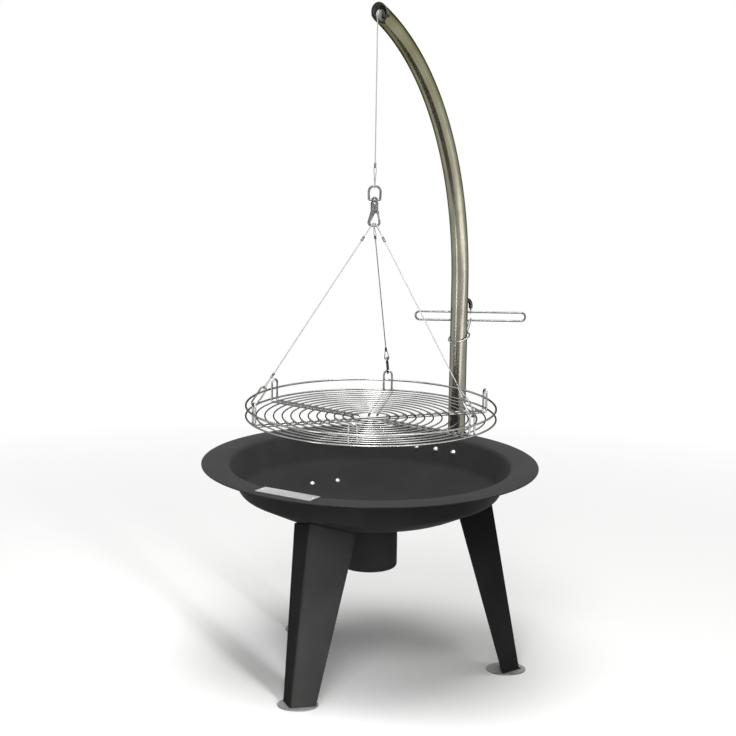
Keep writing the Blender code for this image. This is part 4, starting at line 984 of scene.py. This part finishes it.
def rope_outlet():
    pipe = wire("rope_outlet_pipe", outlet_line(), OUTLET_R, sides=28)
    edit(pipe)
    select_where("FACE", lambda f: len(f.verts) > 6)
    bpy.ops.mesh.delete(type="FACE")
    done()
    thicken(pipe, OUTLET_WALL, -1)
    ease_edges(pipe, 0.0003)
    # The pipe's near-black finish is painted shade and dark reflection.
    fit(soften(pipe), "mast", PIPE_PAINTED_DARK, "mast_steel", "cable_outlet")
    # The weld where the pipe leaves the tube
    seam = []
    across = radial(OUTLET_AZ + 90, 1, 0)
    for i in range(24):
        t = 2 * pi * i / 24
        z = OUTLET_WELD_Z + OUTLET_WELD_HALF_H * sin(t)
        side = OUTLET_WELD_HALF_W * cos(t)
        reach = sqrt(max(MAST_R ** 2 - side ** 2, 0)) + 0.0004
        seam.append(behind_mast(reach, z) + across * side)
    # The weld bead shares the pipe's painted shade and dark reflection.
    fit(weld_bead("outlet_weld", seam, 0.0010, closed=True), "mast", PIPE_PAINTED_DARK, "mast_steel")


# Wire rope

def lay(name, length, radius=ROPE_R, pitch=0.024, step=0.0008, sides=24):
    """A straight rope along Z: a six-lobed circle extruded and twisted."""
    rows = max(2, round(length / step))
    clear_selection()
    bpy.ops.mesh.primitive_cylinder_add(vertices=sides, radius=radius, depth=length)
    rope = added(name)
    edit(rope)
    select_where("EDGE", lambda e: abs(e.verts[0].co.z - e.verts[1].co.z) > length / 2)
    bpy.ops.mesh.subdivide(number_cuts=rows)
    done()
    for vert in rope.data.vertices:
        turn = atan2(vert.co.y, vert.co.x)
        reach = radius * (0.94 + 0.06 * cos(6 * turn))
        turn += 2 * pi * vert.co.z / pitch
        vert.co = (reach * cos(turn), reach * sin(turn), vert.co.z)
    return soften(moved(rope, Matrix.Translation((0, 0, length / 2))), 60)


def ferrule(name, radius, z0, z1, place):
    """A pressed sleeve: two flats and a waist."""
    sleeve = turned(name, [(0.0011, z1), (radius * 0.92, z1), (radius, z1 - 0.0005),
                           (radius, z1 - 0.0022), (radius * 0.86, z1 - 0.0030),
                           (radius * 0.86, z0 + 0.0030), (radius, z0 + 0.0022),
                           (radius, z0 + 0.0005), (radius * 0.92, z0), (0.0011, z0)], 24, closed=True)
    return soften(moved(sleeve, place))


def eye(name, half_w, low, high, radius, place, steps=14):
    loop = wire(name, [(x, 0, z) for x, z in racetrack(half_w, low, high, steps)], radius, True, 12)
    return moved(loop, place)


def rope_inside():
    """The rope over the pulley and down inside the mast."""
    turn = acos(1 - (MAST_AT - ROPE_ON_PULLEY) / MAST_BEND_R)
    flat = arc((ROPE_ON_PULLEY, PULLEY_Z), ROPE_ON_PULLEY, 180, 90 - degrees(turn) + 33, 20)
    points = [mast_point(*p) for p in flat]
    inner = -(MAST_R - MAST_WALL - ROPE_R) * 0.93
    for t in range(48, -1, -3):
        reach = MAST_AT - MAST_BEND_R + (MAST_BEND_R + inner) * cos(radians(t))
        points.append(mast_point(reach, MAST_STRAIGHT_Z + (MAST_BEND_R + inner) * sin(radians(t))))
    centre = OUTLET_REACH - OUTLET_BEND_R
    last = radians(OUTLET_TURN)
    root = OUTLET_ROOT + ROPE_BEND / 4
    q0 = centre + OUTLET_BEND_R * cos(last) - sin(last) * root
    z0 = OUTLET_BEND_Z + OUTLET_BEND_R * sin(last) + cos(last) * root
    for h in range(0, 76, 15):
        t = radians(h)
        points.append(behind_mast(q0 - ROPE_BEND * (cos(t) - cos(last)),
                                  z0 + ROPE_BEND * (sin(last) - sin(t))))
    for h in range(75, 14, -10):
        t = radians(h)
        points.append(behind_mast(centre + OUTLET_BEND_R * cos(t), OUTLET_BEND_Z + OUTLET_BEND_R * sin(t)))
    points += [behind_mast(OUTLET_REACH, z) for z in (OUTLET_BEND_Z + 0.0022, TAIL_TOP_Z + GAP)]
    fit(wire("rope_in_mast", points, ROPE_R, sides=10), "mast", ROPE, "wire_rope", "hoist_rope_inner")


TAIL = behind_mast(OUTLET_REACH, 0)


def quarter_twist(loop, start, end):
    """Turn a rope eye a quarter about Z between two heights, so that both its strands are seen."""
    for vert in loop.data.vertices:
        share = share_between(vert.co.z, start, end)
        turn = radians(90) * share * share * (3 - 2 * share)
        x, y = vert.co.x, vert.co.y
        vert.co.x = x * cos(turn) - y * sin(turn)
        vert.co.y = x * sin(turn) + y * cos(turn)


def hoist_rope():
    top, bottom = PULLEY_Z - GAP, HOIST_SLEEVE_Z[1] + GAP
    drop = moved(lay("hoist_drop", top - bottom), Matrix.Translation((0, 0, bottom)))
    drop.data.materials.append(ROPE)
    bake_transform(drop)
    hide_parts("hoist_rope_drop")

    low = BAIL_TOP_Z - BAIL_R - GAP - ROPE_R
    loop = eye("hoist_loop", BAIL_R + EYE_PLAY + ROPE_R, low, HOIST_LOOP_TOP_Z, ROPE_R, turn_z(90), 16)
    neck = HOIST_SLEEVE_Z[0]
    for vert in loop.data.vertices:
        vert.co.y *= 1 - 0.5 * share_between(vert.co.z, neck - 0.012, neck)
    quarter_twist(loop, BAIL_TOP_Z + 0.006, BAIL_TOP_Z + 0.020)
    fit(soften(loop, 50), "lift", ROPE, "wire_rope", "hoist_eye")
    sleeve = ferrule("hoist_sleeve", SLEEVE_R, *HOIST_SLEEVE_Z, Matrix.Identity(4))
    fit(sleeve, "lift", ZINC, "zinc_steel")


def tail_rope():
    """The rope's lower end behind the mast."""
    there = Matrix.Translation(TAIL)
    low = TAIL_SLEEVE_Z[1] + GAP
    tail = moved(lay("tail_rope", TAIL_TOP_Z - low, step=0.0004), Matrix.Translation((0, 0, low)))
    moved(tail, there)
    tail.data.materials.append(ROPE)
    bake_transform(tail)
    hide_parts("pull_rope")

    low = HANDLE_TOP_Z - HANDLE_R - GAP - ROPE_R
    loop = eye("tail_loop", HANDLE_R + GAP + ROPE_R, low, TAIL_LOOP_TOP_Z, ROPE_R,
               there @ turn_z(90), 10)
    fit(loop, "handle", ROPE, "wire_rope", "pull_eye")
    sleeve = ferrule("tail_sleeve", TAIL_SLEEVE_R, *TAIL_SLEEVE_Z, there)
    fit(sleeve, "handle", ZINC, "zinc_steel")


def long_handle():
    half = HANDLE_PITCH / 2
    flat = racetrack(half, -HANDLE_L / 2 + HANDLE_R, HANDLE_L / 2 - HANDLE_R, 20)
    middle = TAIL + Vector((0, 0, HANDLE_TOP_Z - half))
    grip = wire("long_handle", [middle + Vector((along, 0, across)) for across, along in flat],
                HANDLE_R, closed=True, sides=16)
    fit(grip, "handle", ZINC, "bright_wire", "pull_handle")


def gripping_ring():
    """The ring that tilts and grips the mast, and the link that it hangs from."""
    tilt = radians(RING_TILT)
    shift = RING_R * cos(tilt) - MAST_R - RING_WIRE_R - GAP
    centre = behind_mast(shift, RING_Z)
    up = radial(OUTLET_AZ, cos(tilt), sin(tilt))
    clear_selection()
    bpy.ops.mesh.primitive_torus_add(major_radius=RING_R, minor_radius=RING_WIRE_R,
                                     major_segments=80, minor_segments=14)
    band = added("gripping_ring")
    edit(band)
    select_where("VERT", lambda v: v.co.x < -RING_R + 0.004 and abs(v.co.y) < 0.0016)
    bpy.ops.transform.resize(value=(1, 1, 1.18))
    done()
    across = radial(OUTLET_AZ + 90, 1, 0)
    moved(band, place_along(centre, up, up.cross(across)))
    fit(soften(band, 60), "ring", WIRE, "bright_wire", "holding_ring")

    top = TAIL + Vector((0, 0, HANDLE_TOP_Z - HANDLE_PITCH))
    bottom = centre + up * RING_R
    place = place_along(bottom, radial(60.0, 1, 0), top - bottom)
    low = -(RING_WIRE_R + EYE_PLAY + LINK_R)
    high = (top - bottom).length + HANDLE_R + EYE_PLAY + LINK_R
    link = eye("ring_hanger", LINK_HALF_W, low, high, LINK_R, place)
    fit(link, "pull", WIRE, "bright_wire", "ring_link")


# Swivel hook

def swivel_eye():
    shoulder = BAIL_TOP_Z - BAIL_HALF_W
    outline = rounded([(0.0, BAIL_BAR_Z), (BAIL_HALF_W - 0.0006, BAIL_BAR_Z),
                       (BAIL_HALF_W, shoulder)], [0, 0.003, 0], 15)[:-1]
    outline += arc((0, shoulder), BAIL_HALF_W, 0, 90, 12)
    outline += [(-x, z) for x, z in outline[::-1][1:-1]]
    bow = wire("swivel_bow", [(x, 0, z) for x, z in outline], BAIL_R, closed=True, sides=16)
    fit(bow, "eye", ZINC, "zinc_steel", "swivel_eye")
    low, high = BAIL_BAR_Z - BOSS_H / 2, BAIL_BAR_Z + BOSS_H / 2
    boss = turned("swivel_boss", [(0.0030, high), (0.0062, high), (0.0076, high - 0.0010),
                                  (BOSS_R, BAIL_BAR_Z), (0.0076, low + 0.0010), (0.0062, low),
                                  (0.0030, low)], 40, closed=True)
    fit(soften(boss, 50), "eye", ZINC, "zinc_steel")


def hook_body():
    """The stud through the boss and the thick body under it."""
    top = BAIL_BAR_Z + BOSS_H / 2 + ROUND_PLAY
    body_top = BAIL_BAR_Z - BOSS_H / 2 - ROUND_PLAY
    profile = [(ON_AXIS, top + 0.0032), (0.0030, top + 0.0031), (0.0043, top + 0.0021),
               (0.0048, top + 0.0007), (0.0045, top), (0.0026, top), (0.0026, body_top),
               (0.0066, body_top), (0.0086, body_top - 0.0018), (HOOK_BODY_R, body_top - 0.0045),
               (0.0088, body_top - 0.010), (HOOK_BODY_R, HOOK_BODY_Z + 0.0060),
               (0.0086, HOOK_BODY_Z + 0.0022), (0.0068, HOOK_BODY_Z), (ON_AXIS, HOOK_BODY_Z)]
    body = turned("hook_body", profile, 40)
    ease_edges(body, 0.0003, 40)
    fit(soften(body, 50), "hook", ZINC, "zinc_steel", "swivel_hook")


def hook_bow_and_gate():
    corner = HOOK_HALF_W - HOOK_CORNER
    line = [(-0.0005, HOOK_BODY_Z + 0.0045), (-0.0052, HOOK_BODY_Z - 0.0075),
            (-HOOK_HALF_W, HOOK_BAR_Z + HOOK_CORNER)]
    line = rounded(line, [0, 0.030, 0], 4)
    line += arc((-corner, HOOK_BAR_Z + HOOK_CORNER), HOOK_CORNER, 180, 270, 10)[1:]
    line += arc((corner, HOOK_BAR_Z + HOOK_CORNER), HOOK_CORNER, 270, 360, 10)
    low = Vector((HOOK_HALF_W, HOOK_BAR_Z + HOOK_CORNER))
    rise = Vector((GATE_X, GATE_Z)) - low
    length = rise.length
    rise.normalize()
    line.append(tuple(low + rise * HOOK_NOSE))
    swell = []
    for i, (x, z) in enumerate(line):
        share = share_between(z, HOOK_BAR_Z, line[0][1])
        swell.append(1 + 1.25 * share ** 1.5 if x < 0 else 1 - 0.16 * i / len(line))
    bow = wire("hook_bow", [(x, 0, z) for x, z in line], HOOK_R, sides=16, swell=swell)
    fit(bow, "hook", ZINC, "zinc_steel")
    pivot = Vector((GATE_X, 0, GATE_Z))
    for side in (-1, 1):
        ear = rod("hook_ear", 0.0034, 0.0024, 0.0044, 28)
        moved(ear, place_along(pivot, (0, 0, 1), (0, side, 0)))
        fit(ear, "hook", ZINC, "zinc_steel")
        arm = slab("hook_cheek", (0.0020, side * 0.0034 - 0.0009, GATE_Z - 0.0020),
                   (0.0086, side * 0.0034 + 0.0009, HOOK_BODY_Z + 0.0035), 0.0005)
        fit(arm, "hook", ZINC, "zinc_steel")
    pin = rod("gate_pin", 0.0012, -0.0050, 0.0050, 20)
    fit(moved(pin, place_along(pivot, (1, 0, 0), (0, 1, 0))), "hook", ZINC, "zinc_steel")

    down = Vector((-rise.x, 0, -rise.y))
    gate = wire("gate_bow", [pivot, pivot + down * (length - HOOK_NOSE - GAP)], GATE_R, sides=16)
    fit(gate, "gate", WIRE, "bright_wire", "hook_gate")
    barrel = rod("gate_barrel", GATE_BARREL_R, -0.0020, 0.0020, 28)
    fit(moved(barrel, place_along(pivot, (1, 0, 0), (0, 1, 0))), "gate", WIRE, "bright_wire")


# Hangers

def hanger(name):
    azimuth, spread = HANGERS[name]
    foot = radial(azimuth, LOOP_AT, LOOP_TOP_Z)
    head = Vector((spread, 0, HOOK_BAR_Z))
    run = head - foot
    place = place_along(foot, radial(azimuth + 90, 1, 0), run)
    length = run.length
    low = -(FRAME_R + GAP + SNAP_R)
    high = low + SNAP_L
    eye_low = high - SNAP_R - EYE_PLAY - ROPE_R
    sleeve_low = eye_low + LOWER_EYE_L - ROPE_R
    bar = place.to_3x3().inverted() @ Vector((1, 0, 0))
    half_w = HOOK_R + EYE_PLAY + ROPE_R
    top = length + half_w / sqrt(1 - bar.z ** 2)
    turn = atan2(bar.y, bar.x) + pi / 2

    rope = moved(lay(f"hanger_{name}", length - sum(UPPER_SLEEVE) / 2 - sleeve_low - SLEEVE_L / 2),
                 Matrix.Translation((0, 0, sleeve_low + SLEEVE_L / 2)))
    lower = eye(f"lower_eye_{name}", LOWER_EYE_HALF_W, eye_low, eye_low + LOWER_EYE_L, ROPE_R,
                Matrix.Identity(4))
    upper = eye(f"upper_eye_{name}", half_w, top - UPPER_EYE_L, top, ROPE_R,
                Matrix.Rotation(turn, 4, "Z"))
    for loop, start, end in ((lower, eye_low + EYE_ROUND_L, eye_low + LOWER_EYE_L),
                             (upper, top - EYE_ROUND_L, top - UPPER_EYE_L)):
        for vert in loop.data.vertices:
            narrowing = 1 - 0.6 * share_between(vert.co.z, start, end)
            vert.co.x *= narrowing
            if abs(sin(turn)) > 0.2:
                vert.co.y *= narrowing
    if name == "back":
        quarter_twist(upper, length - 0.004, length - 0.014)
    whole = joined(rope, lower, upper)
    moved(whole, place)
    fit(soften(whole, 60), "grate", ROPE, "wire_rope", f"hanger_rope_{name}")
    for part, z0, z1 in (("low", sleeve_low, sleeve_low + SLEEVE_L),
                         ("high", length - UPPER_SLEEVE[1], length - UPPER_SLEEVE[0])):
        sleeve = ferrule(f"sleeve_{part}_{name}", SLEEVE_R, z0, z1, place)
        fit(sleeve, "grate", ZINC, "zinc_steel")

    snap_connector(name, place, low, high)


def snap_connector(name, place, low, high):
    """A snap between a rope's eye and the grate's, with its gate."""
    hinge, tip = SNAP_GATE
    half = SNAP_HALF_W
    line = [(half, tip + GAP)] + arc((0, high - half), half, 0, 180, 14)
    line += arc((0, low + half), half, 180, 360, 14)
    line.append((half, hinge - SNAP_BARREL_R - GAP))
    snap = wire(f"snap_{name}", [(0, y, z) for y, z in line], SNAP_R, sides=14)
    fit(moved(snap, place), "grate", ZINC, "zinc_steel", f"connector_{name}")
    gate = wire(f"snap_gate_{name}", [(0, half, hinge + (tip - hinge) * i / 18) for i in range(19)],
                SNAP_R, sides=14, swell=[1 - 0.12 * i / 18 for i in range(19)])
    barrel = rod(f"snap_barrel_{name}", SNAP_BARREL_R, -SNAP_BARREL_HALF, SNAP_BARREL_HALF)
    moved(barrel, place_along((0, half, hinge), (0, 1, 0), (1, 0, 0)))
    gate = joined(gate, barrel)
    fit(moved(soften(gate), place), f"gate_{name}", WIRE, "bright_wire", f"connector_gate_{name}")


# Grate

def ring(name, radius, height, wire_r, stands_for):
    """A ring of wire with its butt weld."""
    clear_selection()
    bpy.ops.mesh.primitive_torus_add(major_radius=radius, minor_radius=wire_r,
                                     major_segments=max(48, round(radius * 640)),
                                     minor_segments=12)
    made = added(name)
    edit(made)
    select_where("VERT", lambda v: v.co.x < 0 and abs(v.co.y) < 0.0035 and abs(v.co.x) > radius * 0.9)
    bpy.ops.transform.resize(value=(1, 1, 1.15))
    done()
    moved(made, Matrix.Translation((0, 0, height)) @ turn_z(radius * 4000))
    fit(soften(made, 60), "grate", WIRE, "bright_wire", stands_for)


def frame_wire(name, azimuth, dip):
    """One bent wire: two cross wires side by side with an upright eye at each end."""
    bend = FRAME_BEND
    side = [(-LOOP_AT + bend, FRAME_Z)]
    side += [(u / 1000, FRAME_Z) for u in range(-270, -45, 15)]
    if dip:
        side += [(-FRAME_DIP_START, FRAME_Z), (-FRAME_DIP_END, FRAME_Z - dip),
                 (FRAME_DIP_END, FRAME_Z - dip), (FRAME_DIP_START, FRAME_Z)]
    side += [(u / 1000, FRAME_Z) for u in range(50, 275, 15)]
    side += arc((LOOP_AT - bend, FRAME_Z + bend), bend, 270, 360, 8)
    top = arc((0, LOOP_TOP_Z - FRAME_HALF_W), FRAME_HALF_W, 0, 180, 18)
    upright = [z / 1000 for z in range(626, 657, 6)]
    half = [(u, FRAME_HALF_W, z) for u, z in side]
    half += [(LOOP_AT, FRAME_HALF_W, z) for z in upright]
    half += [(LOOP_AT, t, z) for t, z in top]
    half += [(LOOP_AT, -FRAME_HALF_W, z) for z in upright[::-1]]
    back = arc((LOOP_AT - bend, FRAME_Z + bend), bend, 360, 270, 8)
    half += [(u, -FRAME_HALF_W, z) for u, z in back[:-1]]
    points = [Vector(p) for p in half] + [Vector((-u, -t, z)) for u, t, z in half]
    return wire(name, [turn_z(azimuth) @ p for p in points], FRAME_R, closed=True)


def spot_welds():
    """The small flattened spots where the wires cross."""
    clear_selection()
    bpy.ops.mesh.primitive_ico_sphere_add(subdivisions=2, radius=0.0021)
    spot = added("weld_spots")
    edit(spot)
    select_all()
    bpy.ops.transform.resize(value=(1.1, 1.1, 0.62))
    done()
    mesh = bmesh.new()
    for i in range(COOK_RINGS):
        radius = FIRST_RING_R - i * RING_PITCH
        for azimuth in FRAME_AZ.values():
            for side in (-1, 1):
                for end in (-1, 1):
                    along = end * sqrt(radius ** 2 - FRAME_HALF_W ** 2)
                    at = turn_z(azimuth) @ Vector((along, side * FRAME_HALF_W, 0))
                    first = len(mesh.verts)
                    mesh.from_mesh(spot.data)
                    mesh.verts.ensure_lookup_table()
                    for vert in mesh.verts[first:]:
                        vert.co += Vector((at.x, at.y, GRATE_Z - RING_ROD_R - GAP))
    mesh.to_mesh(spot.data)
    mesh.free()
    fit(soften(spot, 60), "grate", WIRE, "bright_wire")


def grate():
    ring("rail_ring", GRATE_R, RAIL_Z, RAIL_R, "grate_rail")
    ring("edge_ring", GRATE_R, GRATE_Z, EDGE_RING_R, "grate_outer_ring")
    for i in range(COOK_RINGS):
        ring(f"cook_ring_{i + 1:02d}", FIRST_RING_R - i * RING_PITCH, GRATE_Z, RING_ROD_R,
             f"grate_ring_{i + 1:02d}")
    for i, (name, azimuth) in enumerate(FRAME_AZ.items()):
        loop = frame_wire(f"cross_wire_{name}", azimuth, i * FRAME_DIP)
        fit(loop, "grate", WIRE, "bright_wire", f"grate_frame_{name}")
    spot_welds()


# Studio

def math_node(tree, operation, first, second):
    made = node(tree, "ShaderNodeMath", {"operation": operation})
    tree.links.new(first, made.inputs[0])
    tree.links.new(second, made.inputs[1])
    return made.outputs[0]


def background_rays(tree):
    """1 for the rays that see the background: from the camera, off metal and through glass."""
    path = node(tree, "ShaderNodeLightPath").outputs
    glossy = math_node(tree, "MAXIMUM", path["Is Glossy Ray"], path["Is Transmission Ray"])
    return math_node(tree, "MAXIMUM", path["Is Camera Ray"], glossy)


def mixed(tree, share, first, second):
    made = node(tree, "ShaderNodeMixShader")
    for socket, value in zip(made.inputs, (share, first.outputs[0], second.outputs[0])):
        tree.links.new(value, socket)
    return made.outputs[0]


def floor():
    """A pale floor that keeps the shadow and fades into the white behind."""
    clear_selection()
    bpy.ops.mesh.primitive_circle_add(vertices=96, radius=9, fill_type="NGON")
    ground = added("studio_floor")
    finish, tree, shader = new_finish("pale_floor", (0.88, 0.88, 0.87), 0.9)
    shader.inputs["Specular IOR Level"].default_value = 0.1
    glow = node(tree, "ShaderNodeEmission", Color=(1, 1, 1, 1), Strength=1.0)
    away = node(tree, "ShaderNodeVectorMath", {"operation": "LENGTH"})
    tree.links.new(node(tree, "ShaderNodeTexCoord").outputs["Object"], away.inputs[0])
    far = grey(tree, away.outputs["Value"], 0.0, 1.0, 0.45, 2.6)
    seen = background_rays(tree)
    tint(tree, shader, seen, (0.0, (0.10, 0.10, 0.10)), (1.0, (0.88, 0.88, 0.87)))
    tree.links.new(mixed(tree, math_node(tree, "MULTIPLY", far, seen), shader, glow),
                   tree.nodes["Material Output"].inputs["Surface"])
    ground.data.materials.append(finish)


def soft_light(name, place, aim, size, power, tilt=0.0, spread=180.0, on_gloss_only=False):
    lamp = bpy.data.lights.new(name, "AREA")
    lamp.shape = "RECTANGLE"
    lamp.size, lamp.size_y = size
    lamp.energy = power
    lamp.spread = radians(spread)
    made = bpy.data.objects.new(name, lamp)
    bpy.context.scene.collection.objects.link(made)
    made.location = place
    turn = (Vector(aim) - Vector(place)).to_track_quat("-Z", "Y").to_matrix()
    made.rotation_euler = (turn @ Matrix.Rotation(radians(tilt), 3, "Z")).to_euler()
    made.visible_camera = False
    made.visible_diffuse = not on_gloss_only


def world():
    """Plain soft light all round; the camera, metal and glass see white behind the object."""
    scene = bpy.context.scene
    scene.world = bpy.data.worlds.new("studio")
    scene.world.use_nodes = True
    tree = scene.world.node_tree
    tree.nodes.clear()
    around = node(tree, "ShaderNodeBackground", Color=(1, 1, 1, 1), Strength=0.18)
    white = node(tree, "ShaderNodeBackground", Color=(1, 1, 1, 1), Strength=1.0)
    out = node(tree, "ShaderNodeOutputWorld")
    tree.links.new(mixed(tree, background_rays(tree), around, white), out.inputs[0])


# Pitch, yaw and roll in radians, and the focal length in the photo's pixels
CAMERA_AT, CAMERA_TURN = (0, -6.9069, 2.2353), (0.213684, -0.00125, 0.016971)
SENSOR_W, FOCAL_PIXELS, IMAGE_PIXELS = 36.0, 3000.0, 736.0


def camera():
    pitch, yaw, roll = CAMERA_TURN
    right = Vector((cos(yaw), -sin(yaw), 0))
    ahead = Vector((sin(yaw) * cos(pitch), cos(yaw) * cos(pitch), -sin(pitch)))
    up = right.cross(ahead)
    rolled_right = right * cos(roll) + up * sin(roll)
    rolled_up = up * cos(roll) - right * sin(roll)
    lens = bpy.data.cameras.new("photo_camera")
    lens.sensor_width = SENSOR_W
    lens.lens = SENSOR_W * FOCAL_PIXELS / IMAGE_PIXELS
    lens.clip_end = 200.0
    made = bpy.data.objects.new("photo_camera", lens)
    bpy.context.scene.collection.objects.link(made)
    place = Matrix((rolled_right, rolled_up, -ahead)).transposed().to_4x4()
    place.translation = CAMERA_AT
    made.matrix_world = place
    bpy.context.scene.camera = made


camera()
world()
floor()
soft_light("overhead_softbox", (0.2, -0.2, 4.2), (0, 0, 0.5), (3.0, 3.0), 150)
soft_light("front_softbox", (-0.3, -3.9, 3.4), (0, 0, 0.6), (1.6, 1.6), 120)
soft_light("leg_softbox", (1.3, -3.5, 0.8), (-0.22, -0.36, 0.12), (0.4, 0.4), 1.6, spread=14.0)
soft_light("right_softbox", (2.6, -4.0, 2.4), (0, 0, 0.8), (0.9, 2.6), 20)
soft_light("left_strip", (-1.05, -1.00, 0.40), (0.2, 0.35, 0.80), (0.26, 0.80), 3.4,
           on_gloss_only=True)
soft_light("right_strip", (1.20, -0.40, 0.56), (0.2, 0.30, 1.10), (1.70, 0.12), 2.5, 17.0,
           on_gloss_only=True)

fire_bowl()
ash_pot()
name_plate()
legs()
bolts()
socket_back_plate()
socket_tube()
socket_arms()
mast()
mouth_black_ring()
pulley_and_axle()
rope_outlet()
rope_inside()
hoist_rope()
tail_rope()
long_handle()
gripping_ring()
swivel_eye()
hook_body()
hook_bow_and_gate()
for hanger_name in HANGERS:
    hanger(hanger_name)
grate()
clear_selection()

bpy.context.scene.view_settings.view_transform = "Standard"
